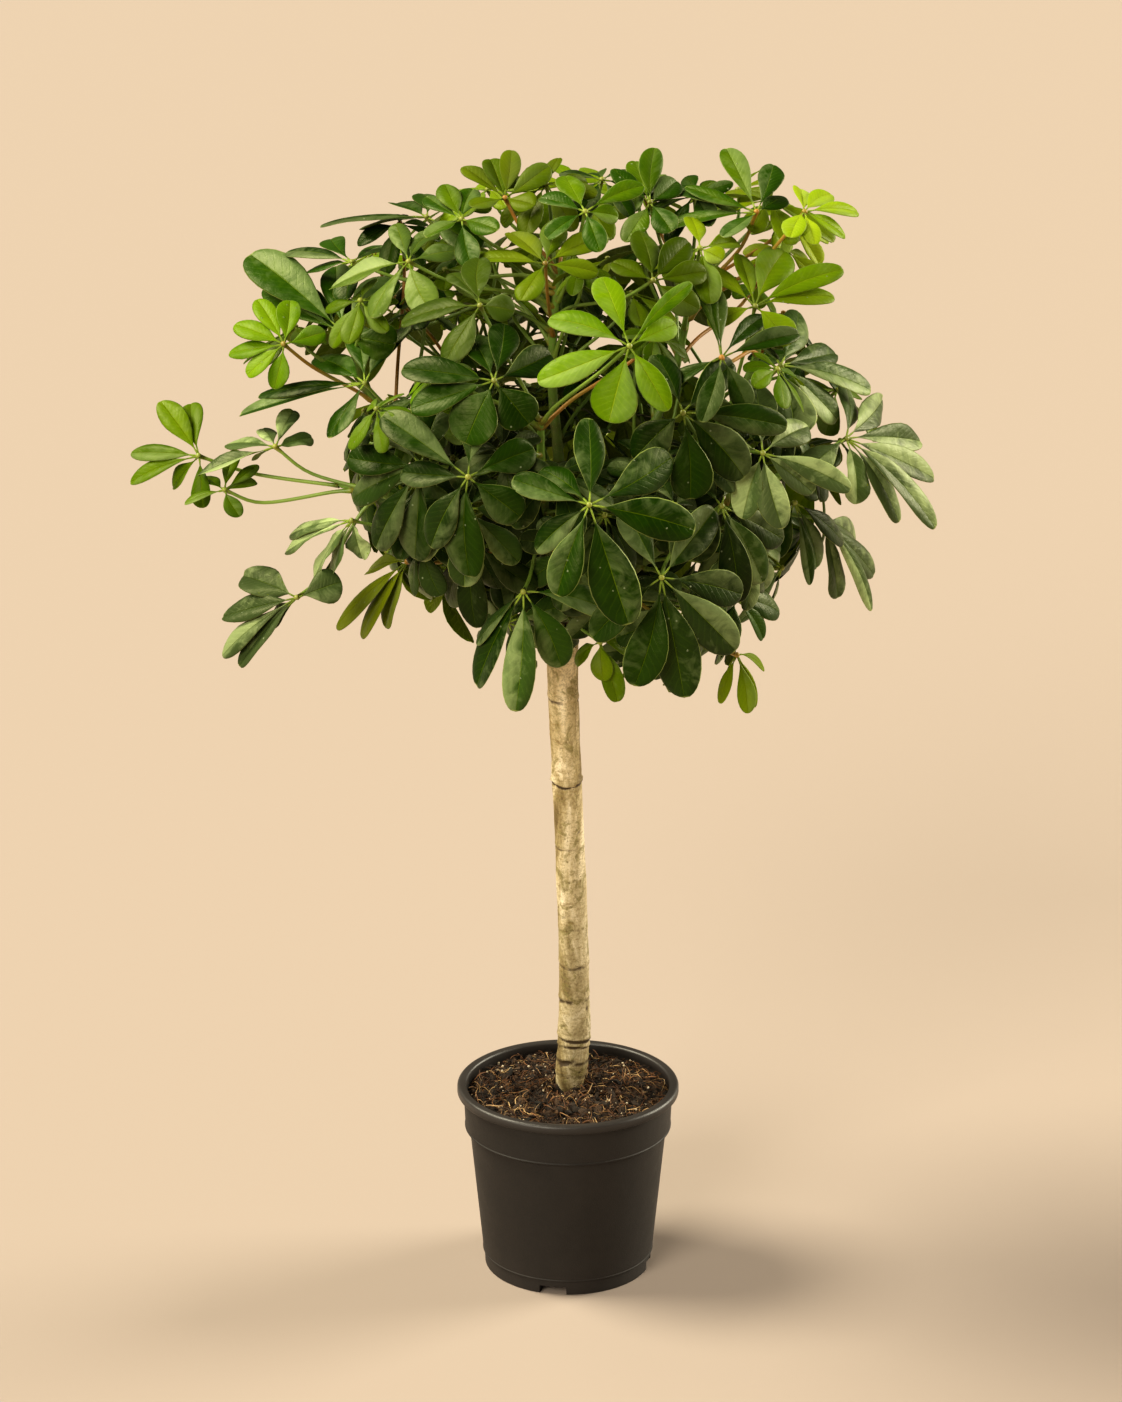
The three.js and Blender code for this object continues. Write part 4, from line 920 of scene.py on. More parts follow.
class Sheaf:
    """Leaflets and stalks gathered for one mesh."""

    def __init__(self):
        self.points, self.faces, self.skins = [], [], []
        self.blade, self.tint, self.crease, self.is_leaflet = [], [], [], []
        self.size = 0

    def take(self, points, faces, blade, tint, crease, is_leaflet):
        """Adds one leaflet or stalk.

        blade says for each corner of a face how far across and along it is, and if it is below. tint is
        a chance number of its own, the shade of its leaf, which is random and darker inside the crown as
        painted shade, and how fresh or grey it looks, partly painted light and sheen, or for a stalk how red
        it is.
        """
        self.faces += [tuple(corner + self.size for corner in face) for face in faces]
        self.skins += [0 if is_leaflet else 1] * len(faces)
        self.points.append(np.asarray(points, float))
        self.blade.append(blade)
        self.tint.append(np.broadcast_to(np.asarray(tint, float), (len(points), 3)))
        self.crease.append(crease)
        self.is_leaflet.append(is_leaflet)
        self.size += len(points)


# How finely a leaflet is woven: its rows, its columns, and the faces between them.
WEAVES = {
    name: (np.array(rows), np.array(columns), weave(len(rows), len(columns)))
    for name, rows, columns in (
        ("fine", FINE_ROWS, FINE_COLUMNS),
        ("plain", PLAIN_ROWS, PLAIN_COLUMNS),
        ("inner", INNER_ROWS, INNER_COLUMNS),
    )
}


def leaflet(sheaf, line, near_side, far_side, up, half, tint, chance, grade):
    """Adds one leaflet along a line of four knots."""
    rows, columns, (faces, where) = WEAVES[grade]
    # The line and its direction at each row, from the curve of the third degree through the knots.
    times = np.array([0, NEAR, FAR, 1])
    shares, slopes = [], []
    for i in range(4):
        others = np.delete(times, i)
        scale = np.prod(times[i] - others)
        shares.append(np.prod([rows - other for other in others], axis=0) / scale)
        pairs = [np.delete(others, j) for j in range(3)]
        slopes.append(sum(np.prod([rows - other for other in pair], axis=0) for pair in pairs) / scale)
    middle, ways = np.array(shares).T @ line, np.array(slopes).T @ line
    ways /= length_of(ways)[:, None]
    turned = np.clip((rows - NEAR) / (FAR - NEAR), 0, 1)[:, None]
    sides = near_side / length_of(near_side) * (1 - turned) + far_side / length_of(far_side) * turned
    sides -= ways * (sides * ways).sum(axis=1)[:, None]
    sides /= length_of(sides)[:, None]
    tops = np.cross(sides, ways)
    if (tops.mean(axis=0) * up).sum() < 0:
        sides, tops = -sides, -tops

    # The outline: a thin stalk, then a blade that is narrow at both ends.
    long = length_of(line[3] - line[0])
    u = np.clip((rows - BLADE_START) / (1 - BLADE_START), 0, 1)
    broadest, full = chance.uniform(*BROADEST), chance.uniform(*FULL)
    swell = np.sin(math.pi * u ** (math.log(0.5) / math.log(broadest))).clip(0)
    wide = half * swell ** (full + 0.36 * (1 - u) ** 1.6)
    stalk = 0.95 - 0.25 * rows / BLADE_START
    broad = np.maximum(wide, np.where(rows < 0.2, np.maximum(stalk, 0.4), 0.2))
    thick = np.where(rows < BLADE_START, HALF_STALK, HALF_BLADE)

    # The shape across: a fold at the midrib, a margin that curls down, and ripples along it.
    fold, curl = chance.uniform(*FOLD), chance.uniform(*CURL)
    across = columns[None, :]
    flat = np.clip((rows - BLADE_START) / FOLDING, 0, 1)[:, None]
    bow = broad[:, None] * flat * (fold * np.abs(across) - curl * np.abs(across) ** 2.3)
    ripple = chance.uniform(*RIPPLE) * half * (1 + 2.6 * max(0, -tint[2]))
    phase = chance.uniform(0, math.tau)
    pace = chance.uniform(*PACE)
    edge_wave = np.sin(pace * rows[:, None] + phase + 1.9 * np.sign(across))
    bow = bow + ripple * flat * np.abs(across) ** 2 * edge_wave
    lean = chance.uniform(*LEAN) * long * np.sin(math.pi * rows)
    sag = -chance.uniform(*SAG) * long * rows**3
    skew = 1 + chance.uniform(*UNEVEN) * np.sign(across)
    outward = across * skew * broad[:, None] + lean[:, None]
    rim = thick[:, None] * np.sqrt(np.maximum(0, 1 - across**6))
    upper = bow + rim + sag[:, None]
    lower = (bow - rim + sag[:, None])[:, 1:-1]
    above = middle[:, None] + sides[:, None] * outward[..., None] + tops[:, None] * upper[..., None]
    below = middle[:, None] + sides[:, None] * outward[:, 1:-1, None] + tops[:, None] * lower[..., None]
    end = line[3] + tops[-1] * sag[-1] * 1.03
    points = np.concatenate([[line[0]], [end], above.reshape(-1, 3), below.reshape(-1, 3)])
    along = np.array([0, *rows, 1])[where[:, 0]]
    beside = np.where(along == 1, 0, columns[where[:, 1]])
    blade = np.stack([beside, along, where[:, 2]], axis=1)
    centre = len(columns) // 2
    crease = np.zeros(len(points), bool)
    crease[2 + centre : 2 + len(rows) * len(columns) : len(columns)] = rows > BLADE_START
    sheaf.take(points, faces, blade, tint, crease, True)


def leaf_stalk(sheaf, knots, face, tint):
    """Adds a leaf's stalk, from inside the stem to the hub, and the knob that the leaflets spring from."""
    face = face / length_of(face)
    total = length_of(np.diff(knots, axis=0)).sum()
    line, ways, gone = smooth_line(knots, max(8, int(total / STALK_STEP)))
    radii = STALK_RADIUS * (1 - 0.12 * gone / gone[-1])
    radii += STALK_FOOT_WIDER * np.exp(-((gone / STALK_FOOT_LENGTH) ** 2))
    radii = np.concatenate([radii, KNOB_RADII])
    knob = line[-1] + face * np.array(KNOB_RISES)[:, None]
    line = np.concatenate([line, knob])
    ways = np.concatenate([ways, [face] * 3])
    radii[-4] = STALK_END_RADIUS
    points, faces = tube(line, ways, radii, STALK_SIDES, (0.3, 0.2, 0.93))
    along = np.concatenate([[0], np.repeat(np.append(gone / gone[-1], [1, 1, 1]), STALK_SIDES), [1]])
    corners_of = np.array([corner for face_corners in faces for corner in face_corners])
    blade = np.stack([np.zeros(len(corners_of)), along[corners_of], np.zeros(len(corners_of))], axis=1)
    sheaf.take(points, faces, blade, tint, np.zeros(len(points), bool), False)


def whole(sheaf, name, leaf_material, stalk_material):
    """One object of all that a sheaf has gathered."""
    points = np.concatenate(sheaf.points)
    thing = build(name, points, sheaf.faces, leaf_material)
    thing.data.materials.append(stalk_material)
    thing.data.polygons.foreach_set("material_index", sheaf.skins)
    mark(thing, "blade", "FLOAT_VECTOR", "CORNER", np.concatenate(sheaf.blade))
    mark(thing, "tint", "FLOAT_VECTOR", "POINT", np.concatenate(sheaf.tint))
    # The midrib is a sharp crease.
    crease = np.concatenate(sheaf.crease)
    edges = np.empty(len(thing.data.edges) * 2, int)
    thing.data.edges.foreach_get("vertices", edges)
    sharp = thing.data.attributes.new("sharp_edge", "BOOLEAN", "EDGE")
    sharp.data.foreach_set("value", crease[edges.reshape(-1, 2)].all(axis=1))
    # Each leaflet gets a square of its own on the chart, and the stalks share the last one.
    side = math.ceil(math.sqrt(sum(sheaf.is_leaflet) + 1))
    charts, number = [], 0
    for blade, is_leaflet in zip(sheaf.blade, sheaf.is_leaflet):
        cell = number if is_leaflet else side * side - 1
        number += is_leaflet
        u = 0.03 + 0.44 * (blade[:, 0] * 0.5 + 0.5) + 0.5 * blade[:, 2]
        v = 0.03 + 0.94 * blade[:, 1]
        charts.append(np.stack([(cell % side + u) / side, (cell // side + v) / side], axis=1))
    chart = thing.data.uv_layers.new(name="OFBake")
    chart.data.foreach_set("uv", np.concatenate(charts).ravel())
    return thing


def leaf_finish(name, deep, fresh, lime, under, veins, gloss, clear=0.0):
    """A leaf's skin: glossy above, pale and matt below, with a pale midrib and side veins, and a pale margin
    that is partly a painted rim highlight.
    """
    material, place = finish(name)
    across, along, below = place.stored("blade", "Vector").split()
    one, shade, sun = place.stored("tint", "Vector").split()
    off, side = across.sums("ABSOLUTE"), across.sums("SIGN")
    cloud = place.noise(55, 5, 0.6, 0.4)
    # A leaf's sun number turns it towards lime: partly fresh growth, partly painted light.
    share = cloud * 0.30 + one * 0.22 + sun.sums("MAXIMUM") * 0.6 + off * -0.06
    colour = share.ramp((0.10, deep), (0.45, fresh), (0.95, lime))
    # Painted sheen, and dust: paler patches of painted reflection, more of them on one half of each leaflet,
    # and a grey bloom on dusty leaves that is partly dust and partly painted sheen.
    half_side = (across * 0.5 + side * 0.5) * (one - 0.5).sums("SIGN")
    shiny = (one * 5.0).sums("FRACT")
    painted_sheen = half_side * 0.18 + shiny * 0.35 + place.noise(42, 5, 0.6, 1.3) * 0.9
    grey = (sun * -1.0).sums("MAXIMUM")
    dust_and_painted_sheen = painted_sheen.ramp((0.62, 0.0), (0.95, 1.0)) * (grey * 0.72 + 0.27) + grey * 0.22
    colour = colour.mixed((0.37, 0.46, 0.20), dust_and_painted_sheen)
    # The side veins slant forward from the midrib and wander a little. They fade towards the margin.
    path = along * 12.0 + off * -2.3 + place.noise(80, 2) * 0.5 + side * 0.17
    wave = (path * math.tau).sums("COSINE")
    side_vein = wave.ramp((0.80, 0.0), (1.0, 1.0)) * off.ramp((0.0, 1.0), (0.75, 0.55), (0.95, 0.0))
    midrib = (off * (along * 0.9 + 0.55)).ramp((0.014, 1.0), (0.040, 0.0))
    colour = colour.times(wave.ramp((0.0, 1.0 - veins), (1.0, 1.0 + veins)), 0.5)
    colour = colour.mixed(lime, side_vein * veins + midrib * (0.30 + veins))
    pale = cloud.ramp((0.0, under), (1.0, lime))
    pale = pale.mixed((0.34, 0.40, 0.10), midrib.sums("MAXIMUM", side_vein) * 0.4)
    colour = colour.mixed(pale, below)
    # The margin is painted pale: partly the leaf's own pale edge, partly a painted rim highlight.
    margin_and_rim_highlight = off.ramp((0.955, 0.0), (0.99, 0.7)).sums("MAXIMUM", along.ramp((0.98, 0.0), (0.995, 0.7)))
    colour = colour.mixed((0.36, 0.42, 0.12), margin_and_rim_highlight)
    own_stalk = along.ramp((0.115, 1.0), (0.155, 0.0))
    colour = colour.mixed((0.25, 0.34, 0.05), own_stalk).times(shade * 0.85 + 0.55)
    # Drops of water, on the upper side only. Their pale colour is a painted highlight.
    to_drop, chosen = place.cells(105)
    drops_and_glints = to_drop.ramp((0.07, 1.0), (0.12, 0.0)) * chosen.split()[0].ramp((0.62, 0.0), (0.66, 1.0))
    drops_and_glints = drops_and_glints * (below * -1.0 + 1.0)
    colour = colour.mixed((0.50, 0.57, 0.36), drops_and_glints * 0.38)
    rough = place.noise(120, 4) * 0.2 + (gloss - 0.1) + drops_and_glints * -0.22 + below * 0.22
    # The veins are sunk above and raised below. The drops stand out.
    raised = midrib * -1.0 + side_vein * -0.22 + wave * -0.025 + place.noise(80, 4) * 2.2
    raised = raised * (below * -2.0 + 1.0) + drops_and_glints * 1.4
    shader = dress(material, colour, rough, raised, 0.0006, 0.75)
    shader.inputs["Specular IOR Level"].default_value = 0.17
    shader.inputs["Specular Tint"].default_value = (1.0, 1.0, 0.5, 1)
    if clear:
        light = colour.mixed((0.45, 0.60, 0.02), 0.5)
        through = light.node("ShaderNodeBsdfTranslucent", {"Color": light})
        both = light.node("ShaderNodeMixShader", {0: clear, 1: shader.outputs[0], 2: through})
        surface = material.node_tree.nodes["Material Output"].inputs["Surface"]
        material.node_tree.links.new(both.socket, surface)
    return material


# Each skin's colours are its deepest, its fresh and its lime green, and that of its underside. Then
# come how clear the veins are, the roughness, and how much light shines through.
LEAF_SKINS = {
    "leaf_dark": leaf_finish(
        "leaf_dark", (0.003, 0.015, 0.0003), (0.024, 0.072, 0.0005), (0.18, 0.27, 0.002),
        (0.10, 0.13, 0.015), 0.05, 0.37,
    ),
    "leaf_mid": leaf_finish(
        "leaf_mid", (0.036, 0.080, 0.001), (0.14, 0.225, 0.002), (0.36, 0.44, 0.010),
        (0.16, 0.23, 0.015), 0.06, 0.37, 0.34,
    ),
    "leaf_young": leaf_finish(
        "leaf_young", (0.065, 0.15, 0.001), (0.21, 0.34, 0.004), (0.52, 0.61, 0.03),
        (0.30, 0.42, 0.02), 0.07, 0.36, 0.38,
    ),
}
# How fresh a leaf looks: 1 is lime, partly from new growth and partly painted light of sun that falls on it
# and shines through it, 0 is plain, and below 0 it is grey, partly dust and partly painted sheen.
LEAF_SUN = {
    "front_1": 0.0, "front_2": -0.05, "front_3": -0.12, "front_4": 0.1, "front_5": 0.1, "front_6": -0.12,
    "front_7": -0.12, "front_8": -0.05, "front_9": 0.1, "front_10": 0.35, "left_1": 0.2, "left_2": 0.1,
    "left_3": -0.7, "left_4": -0.8, "left_5": -0.9, "left_6": 1.5, "left_7": 0.1, "left_8": 0.05,
    "left_9": 0.35, "left_10": -0.6, "left_11": 0.2, "left_12": 0.15, "right_1": 0.3, "right_2": -0.3,
    "right_3": -0.8, "right_4": -0.7, "right_5": -0.2, "right_6": 0.1, "right_7": -0.65, "right_8": 0.1,
    "right_9": 0.7, "top_1": 0.4, "top_2": 0.55, "top_3": 0.5, "top_4": 0.4, "top_5": 0.4, "top_6": 0.6,
    "top_7": 0.5, "top_8": 0.4, "top_9": 0.5, "top_10": 0.3, "top_11": -0.3, "back_1": 0.4, "back_2": 0.3,
}
# The leaves whose stalks are orange-red, and how red those are.
RED_STALKS = ("top_2", "top_5", "top_6", "top_9", "left_8", "right_1", "right_9", "left_6")
REDNESS = 0.8

leaf_stalk_green, place = finish("leaf_stalk")
along = place.stored("blade", "Vector").split()[1]
_, shade, red = place.stored("tint", "Vector").split()
cloud = place.noise(30, 4)
colour = (cloud + shade * 0.3).ramp((0.35, (0.10, 0.17, 0.03)), (0.75, (0.25, 0.38, 0.06)))
ends = along.ramp((0.0, 0.75), (0.09, 0.05), (0.93, 0.0), (0.985, 0.25)).sums("MAXIMUM", red)
colour = colour.mixed((0.52, 0.13, 0.02), ends * (cloud * 1.3))
dress(leaf_stalk_green, colour, cloud.ramp((0.3, 0.36), (0.7, 0.5)), place.noise(400), 0.0002, 0.4)

stem_points = np.concatenate([line[6:] for line in stem_lines.values()])
skin_of = {}
for row in frame["record"]["subparts"]:
    for node in row.get("nodes", [row.get("node")]):
        skin_of[node] = row.get("material_slot", row.get("slot"))
leaf_nodes = [name for name in frame["nodes"] if name.startswith("leaf_")]
standing_leaves = []
for number, node in enumerate(leaf_nodes):
    chance = random.Random(100 + number)
    hub, stalk, leaflets = read_leaf(node)
    foot = stem_points[length_of(stem_points - stalk[0]).argmin()]
    face = sum(up / length_of(up) for _, _, _, up, _ in leaflets)
    sheaf = Sheaf()
    shade, sun = chance.random(), LEAF_SUN.get(node[5:], 0.0)
    leaflets = [(*rest, half * WIDER) for *rest, half in leaflets]
    for line, near_side, far_side, up, half in leaflets:
        tint = (chance.random(), shade, sun + chance.uniform(-0.12, 0.12))
        leaflet(sheaf, line, near_side, far_side, up, half, tint, chance, "fine")
    red = REDNESS * (node[5:] in RED_STALKS)
    leaf_stalk(sheaf, [foot, *stalk, hub], face, (chance.random(), shade, red))
    leaf = whole(sheaf, node.replace("leaf", "palmate_leaf"), LEAF_SKINS[skin_of[node]], leaf_stalk_green)
    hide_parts(node)
    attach(leaf, "root")
    standing_leaves.append((hub, leaflets, [foot, *stalk, hub]))

# ---------------------------------------------------------------------------------------------
# The rest of the crown: leaves of the same kind at the back, inside, and between those in front.
# Each grows where there is room for it, turned outwards and up, on a stalk from a stem near it.
# ---------------------------------------------------------------------------------------------
CROWN_MIDDLE = np.array([-15.0, 15.0, 800.0])
CROWN_LEFT, CROWN_RIGHT, CROWN_FRONT, CROWN_BACK, CROWN_UP, CROWN_DOWN = 290, 300, 215, 262, 238, 215
CROWN_TOP = 1056
LEAF_APART, OTHERS_REACH = 43, 125
# How far a new stalk keeps from leaflets, and a new leaflet from stalks.
STALK_ROOM, LEAFLET_ROOM = 4, 3
# How much more a leaflet's tip hangs than its foot.
ARCH = math.radians(26)
SHORTEST_STALK, USUAL_STALK, LONGEST_STALK = 48, 105, 175
# Above this height, this share of the stalks is red, and this red.
RED_ABOVE, RED_SHARE, RED_THERE = 880, 0.2, 0.9
TRIES, TRIES_IF_SHOWN = 7, 20
# The crown's outline in the picture, as columns and rows.
CROWN_OUTLINE = [
    (240, 335), (262, 268), (330, 228), (400, 205), (445, 185), (505, 156), (600, 158), (650, 154),
    (735, 158), (800, 180), (850, 205), (842, 250), (838, 296), (806, 308), (812, 345), (850, 362),
    (884, 396), (912, 440), (905, 480), (850, 502), (815, 558), (780, 580), (770, 615), (735, 650),
    (715, 698), (660, 700), (600, 676), (560, 660), (520, 700), (490, 670), (455, 628), (400, 606),
    (372, 560), (350, 500), (345, 450), (330, 425), (285, 408), (238, 385),
]
# Gaps in the crown, or where stems show: column, row, radius, and how far back leaves may start.
CROWN_GAPS = [
    (402, 368, 20, 400), (345, 395, 20, 400), (300, 375, 20, 400), (716, 345, 26, 400), (735, 385, 18, 400),
    (700, 308, 24, 400), (812, 425, 14, 400), (500, 282, 12, 400), (528, 222, 20, 400), (438, 228, 14, 400),
    (598, 240, 12, 400), (790, 300, 14, 400), (722, 242, 24, 400), (428, 342, 14, 400), (560, 268, 10, 400),
    (545, 370, 60, 30), (580, 420, 40, 30), (500, 320, 40, 0), (655, 410, 24, 30),
]


def in_picture(point):
    """The column and row at which the camera sees a point."""
    ahead, up = point[1] - EYE.y, point[2] - EYE.z
    depth = ahead * math.cos(LOOKS_DOWN) - up * math.sin(LOOKS_DOWN)
    rise = ahead * math.sin(LOOKS_DOWN) + up * math.cos(LOOKS_DOWN)
    column = PICTURE_WIDTH / 2 + FOCAL_PIXELS * (point[0] - EYE.x) / depth
    return column, PICTURE_HEIGHT / 2 - FOCAL_PIXELS * rise / depth


def seen_at(column, row, back):
    """The point that the camera sees at a column and row, this far behind the trunk's foot."""
    across = (column - PICTURE_WIDTH / 2) / FOCAL_PIXELS
    rise = (PICTURE_HEIGHT / 2 - row) / FOCAL_PIXELS
    ahead = math.cos(LOOKS_DOWN) + rise * math.sin(LOOKS_DOWN)
    up = rise * math.cos(LOOKS_DOWN) - math.sin(LOOKS_DOWN)
    far = (back - EYE.y) / ahead
    return np.array([EYE.x + across * far, back, EYE.z + up * far])


def in_outline(point, gaps):
    """Whether the camera sees a point inside the crown's outline and, if gaps count, clear of those."""
    column, row = in_picture(point)
    for x, y, radius, back in CROWN_GAPS:
        if gaps and math.hypot(column - x, row - y) < radius and point[1] < back:
            return False
    inside = False
    for (x0, y0), (x1, y1) in zip(CROWN_OUTLINE, CROWN_OUTLINE[1:] + CROWN_OUTLINE[:1]):
        if (y0 > row) != (y1 > row) and column < x0 + (x1 - x0) * (row - y0) / (y1 - y0):
            inside = not inside
    return inside


def bezier(a, b, c, d, times):
    """Points on the curve from a to d that b and c bend."""
    t = np.asarray(times, float)[:, None]
    return (1 - t) ** 3 * a + 3 * t * (1 - t) ** 2 * b + 3 * t * t * (1 - t) * c + t**3 * d


def wheel_of_leaflets(hub, normal, count, reach, droop, chance):
    """The lines and widths of the leaflets of a leaf that faces along normal, as read_leaf gives them."""
    downhill = np.array([0, 0, -1.0]) + normal * normal[2]
    downhill /= length_of(downhill)
    beside = np.cross(normal, downhill)
    start = chance.uniform(0, math.tau)
    found = []
    for i in range(count):
        angle = start + (i + chance.uniform(-0.12, 0.12)) * math.tau / count
        radial = downhill * math.cos(angle) + beside * math.sin(angle)
        long = reach * (0.86 + 0.16 * math.cos(angle) + chance.uniform(-0.07, 0.07))
        fall = math.radians(droop + chance.uniform(-6, 6) + (6 if i % 2 else -6))
        points = [hub]
        for share in (0.15, 0.5, 0.85):
            dip = fall + ARCH * share
            points.append(points[-1] + (radial * math.cos(dip) - normal * math.sin(dip)) * long / 3)
        knots = bezier(*points, (0, NEAR, FAR, 1))
        side = np.cross(radial, normal) * math.cos(0.2) + normal * math.sin(0.2) * chance.choice((-1, 1))
        found.append((knots, side, side, normal, long * chance.uniform(0.19, 0.235)))
    return found


def strips(leaflets):
    """The leaflets as plain strips, to test them against each other."""
    points, faces = [], []
    for knots, near_side, far_side, _, half in leaflets:
        start = len(points)
        for spot, side, share in (
            (knots[0] * 0.75 + knots[1] * 0.25, near_side, 0.15), (knots[1], near_side, 1.05),
            (knots[2], far_side, 1.05), (knots[3], far_side, 0.3),
        ):
            reach = side / length_of(side) * half * share
            points += [spot - reach, spot + reach]
        faces += [(start + i, start + i + 1, start + i + 3, start + i + 2) for i in (0, 2, 4)]
    return BVHTree.FromPolygons([tuple(point) for point in points], faces)


def too_near(points, trees, gap):
    """Whether one of the points comes this near to the strips of other leaves."""
    return any(tree.find_nearest(Vector(point), gap)[0] is not None for point in points for tree in trees)


def find_stalk(hub, normal, trees, chance):
    """A way for a leaf's stalk from a stem to its hub, clear of the other leaves.

    The best is about as long as most stalks and comes to the leaf from behind.
    """
    offers = []
    for foot in stem_points[chance.randrange(4) :: 5]:
        way = hub - foot
        long = length_of(way)
        behind = way.dot(normal) / long
        if SHORTEST_STALK < long < LONGEST_STALK and behind > -0.05:
            offers.append((abs(long / USUAL_STALK - 1) + 0.8 * (1 - behind), foot, way / long, long))
    for _, foot, way, long in sorted(offers, key=lambda offer: offer[0])[:9]:
        rising = foot + (way + (0, 0, 0.35)) * 0.3 * long
        path = bezier(foot, rising, hub - normal * 0.3 * long, hub, np.linspace(0, 1, 9))
        if not too_near(path[2:7], trees, STALK_ROOM):
            return list(path[[0, 2, 4, 6, 8]])
    return None


crown = [(hub, strips(leaflets)) for hub, leaflets, _ in standing_leaves]
stalk_spots = np.concatenate([np.array(stalk) for _, _, stalk in standing_leaves])
reach_of = {
    (1, 0): CROWN_RIGHT, (-1, 0): CROWN_LEFT, (1, 1): CROWN_BACK, (-1, 1): CROWN_FRONT,
    (1, 2): CROWN_UP, (-1, 2): CROWN_DOWN,
}
sheaves = {}
chance = random.Random(5)


def grow(hub, facing, tilt, reach, droop, skin, depth, sun, gaps=True):
    """Adds a leaf that faces about this way, if there is room for it. depth is 1 outside, less inside."""
    global stalk_spots
    near = [tree for other, tree in crown if length_of(hub - other) < reach + OTHERS_REACH]
    for attempt in range(TRIES if gaps else TRIES_IF_SHOWN):
        normal = facing + [chance.uniform(-tilt, tilt) for _ in range(3)]
        normal /= length_of(normal)
        fall = droop + chance.uniform(-4, 8)
        count = chance.choice((6, 7, 7, 8, 8))
        smaller = reach * (1 - (0.05 if gaps else 0.02) * attempt)
        leaflets = wheel_of_leaflets(hub, normal, count, smaller, fall, chance)
        spots = [hub, *(spot for knots, *_ in leaflets for spot in knots[1:])]
        if not all(in_outline(spot, gaps) for spot in spots) or max(spot[2] for spot in spots) > CROWN_TOP:
            continue
        tree = strips(leaflets)
        if any(tree.overlap(other) for other in near):
            continue
        if too_near(stalk_spots[length_of(stalk_spots - hub) < reach], [tree], LEAFLET_ROOM):
            continue
        stalk = find_stalk(hub, normal, near, chance)
        if stalk is None:
            continue
        place = "inner" if depth < 0.9 else "back" if hub[1] > 0 else "front"
        grade = "inner" if depth < 0.9 else "plain"
        sheaf = sheaves.setdefault(f"{place}_leaves_{skin[5:]}", Sheaf())
        # A leaf deep inside the crown is painted darker: painted shade.
        shade = chance.random() * depth - 0.45 * (1 - depth)
        for knots, near_side, far_side, up, half in leaflets:
            tint = (chance.random(), shade, sun + chance.uniform(-0.1, 0.1))
            leaflet(sheaf, knots, near_side, far_side, up, half, tint, chance, grade)
        red = RED_THERE if hub[2] > RED_ABOVE and chance.random() < RED_SHARE else 0.0
        leaf_stalk(sheaf, stalk, normal, (chance.random(), shade, red))
        crown.append((hub, tree))
        stalk_spots = np.concatenate([stalk_spots, stalk])
        return


# Leaves that the picture shows behind those at the crown's top: column, row, how far back the hub is,
# the way it faces, its leaflets' length and droop, its skin and how fresh it looks, partly painted light, as
# in LEAF_SUN.
SHOWN_LEAVES = [
    (768, 200, 45, (0.2, -0.3, 1), 66, -4, "mid", 0.6),
    (738, 190, 110, (-0.1, -0.2, 1), 66, -8, "mid", 0.6),
    (694, 196, 40, (-0.3, -0.3, 1), 66, 0, "dark", 0.5),
    (706, 214, 100, (0, -0.2, 1), 70, 6, "mid", 0.4),
    (640, 186, 70, (-0.2, -0.5, 1), 64, -6, "dark", 0.5),
    (602, 180, 50, (0.1, -0.6, 1), 62, 0, "dark", 0.2),
    (572, 186, 100, (0, -0.3, 1), 64, -8, "young", 0.5),
    (546, 184, 20, (0.1, -0.6, 1), 56, 0, "mid", 0.6),
    (488, 190, 70, (-0.2, -0.3, 1), 56, -10, "young", 0.5),
    (450, 206, 110, (-0.3, -0.3, 1), 60, 0, "mid", 0.4),
    (400, 224, 60, (-0.2, -0.6, 1), 74, 4, "dark", 0.3),
    (360, 240, 90, (-0.4, -0.3, 1), 66, 6, "mid", 0.4),
    (788, 220, 70, (0.3, -0.2, 1), 54, 2, "young", 0.7),
    (516, 182, 50, (0.3, -0.5, 1), 48, 10, "young", 0.7),
    (785, 250, 60, (0.2, -0.5, 1), 50, 10, "young", 0.8),
    (715, 672, 60, (0.1, -0.6, 0.8), 36, 30, "young", 0.5),
    (310, 545, 150, (-0.6, -0.5, 0.7), 46, 20, "mid", -0.5),
]
for column, row, back, facing, reach, droop, skin, sun in SHOWN_LEAVES:
    hub = seen_at(column, row, back)
    grow(hub, np.array(facing, float), 0.3, reach, droop, "leaf_" + skin, 1.0, sun, gaps=False)

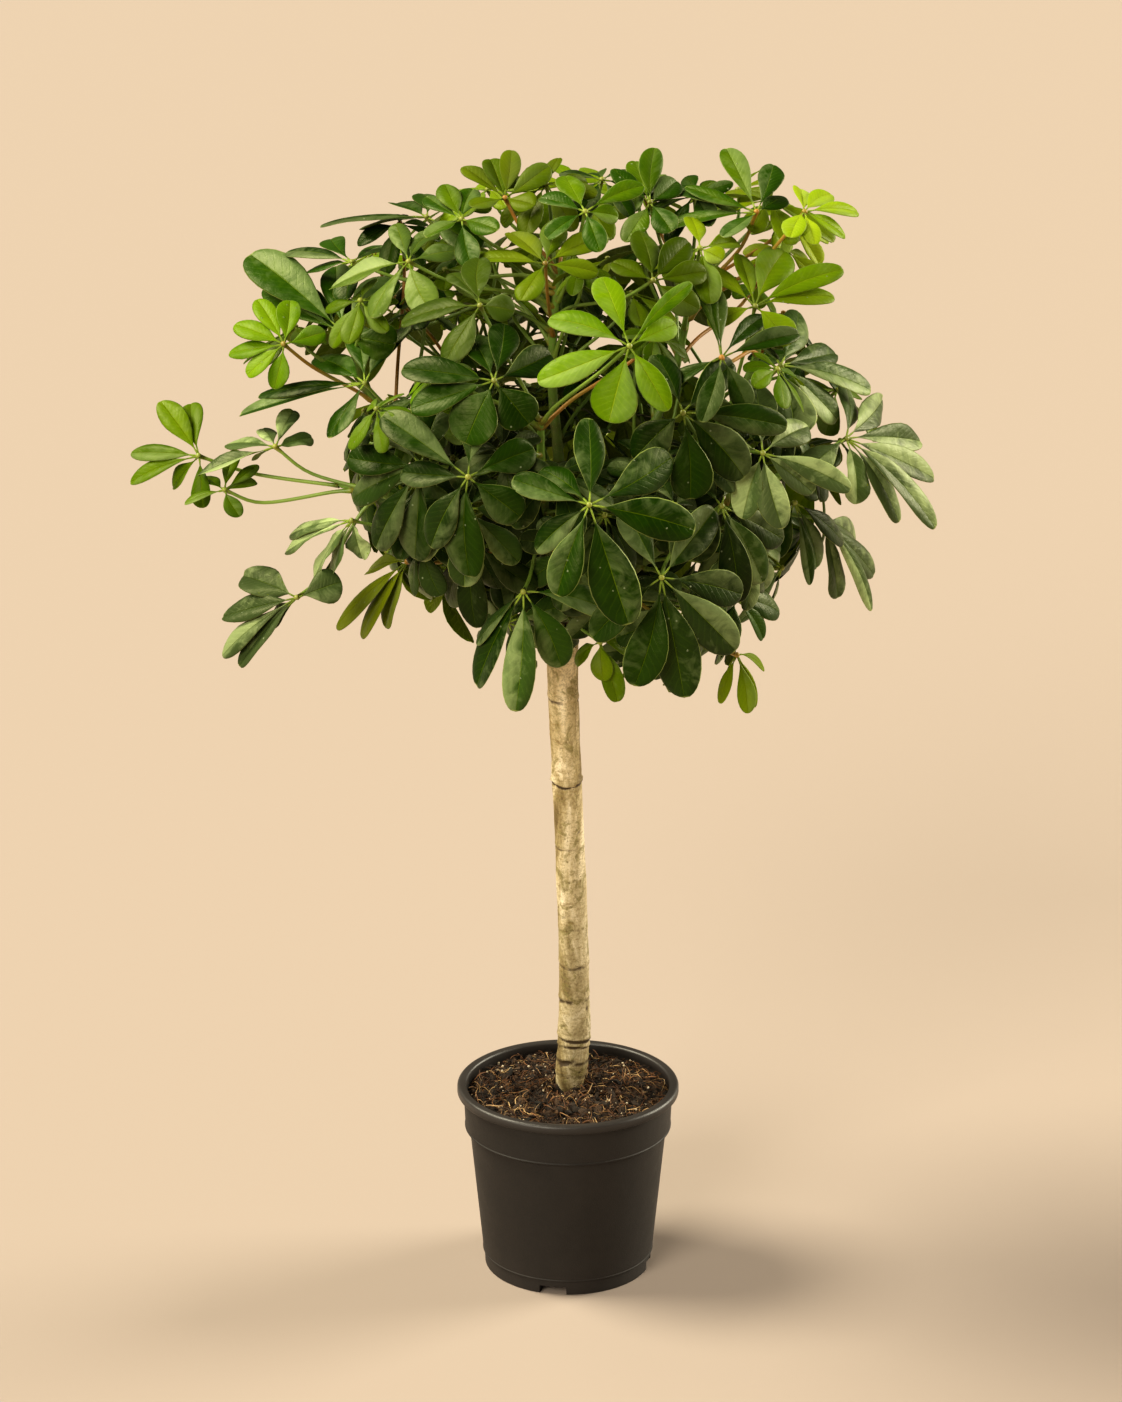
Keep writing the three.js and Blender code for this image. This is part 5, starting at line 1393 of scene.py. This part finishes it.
# The crown fills from outside to inside, after two shells that only fill its top. A shell has its size
# as a share of the crown's, how many places are tried on it, the lowest of them as a share of its
# height, and how far apart the hubs stand. The places go round by the golden turn, to spread evenly.
TOP_FRONT, AIRY_ABOVE, AIRY_FRONT = 45, 915, 80
HIGH_ABOVE, LOW_BELOW = 925, 850
LEAFLET_LENGTH, LOWER_LONGER = (62, 84), 18
TOP_LENGTH, TOP_DROOP = (58, 84), (-8, 24)
for shell, tries, lowest, apart in (
    (1.14, 300, 0.5, LEAF_APART + 6), (1.02, 700, 0.35, LEAF_APART - 2), (1.06, 620, -0.86, LEAF_APART),
    (0.94, 560, -0.86, LEAF_APART), (0.78, 420, -0.86, LEAF_APART), (0.6, 240, -0.86, LEAF_APART),
    (0.42, 120, -0.86, LEAF_APART),
):
    for i in range(tries):
        rise = 1 - 2 * (i + 0.5) / tries
        wide, turn = math.sqrt(1 - rise**2), i * math.pi * (3 - math.sqrt(5))
        way = np.array([math.cos(turn) * wide, math.sin(turn) * wide, rise])
        if way[2] < lowest:
            continue
        axes = np.array([reach_of[(1 if way[k] > 0 else -1, k)] for k in range(3)], float)
        hub = CROWN_MIDDLE + way * axes * (shell - 0.16) + [chance.uniform(-9, 9) for _ in range(3)]
        if lowest > 0 and hub[1] < TOP_FRONT or min(length_of(hub - other) for other, _ in crown) < apart:
            continue
        # At the top in front, where the crown is airy, half of the places stay empty.
        if hub[2] > AIRY_ABOVE and hub[1] < AIRY_FRONT and chance.random() < 0.5:
            continue
        reach = chance.uniform(*LEAFLET_LENGTH) + LOWER_LONGER * min(1, max(-1, (830 - hub[2]) / 120))
        droop = 8 + 22 * max(0, -way[2] + 0.25)
        if lowest > 0:
            reach = chance.uniform(*TOP_LENGTH)
            droop = chance.uniform(*TOP_DROOP)
        facing = way / axes * 200
        facing[2] = max(facing[2], -0.45) + 0.75 + 0.8 * max(0, way[2])
        # Leaves low down and inside take the dark skin, as painted shade; towards the top they are paler and
        # fresher, partly new growth and partly painted light.
        high = hub[2] > HIGH_ABOVE and shell > 0.7
        low = hub[2] < LOW_BELOW or shell < 0.7
        odds = (0.30, 0.44, 0.26) if high else (0.86, 0.14, 0) if low else (0.6, 0.32, 0.08)
        skin = chance.choices(list(LEAF_SKINS), odds)[0]
        sun = min(0.75, max(-0.22, (hub[2] - 870) / 180 + chance.uniform(-0.5, 0.4)))
        grow(hub, facing, 0.3 + 0.25 * max(0, way[2]), reach, droop, skin, min(1, shell), sun)
for name, sheaf in sheaves.items():
    skin = "leaf_" + name.split("_")[-1]
    leaves = whole(sheaf, name, LEAF_SKINS[skin], leaf_stalk_green)
    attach(leaves, "root")
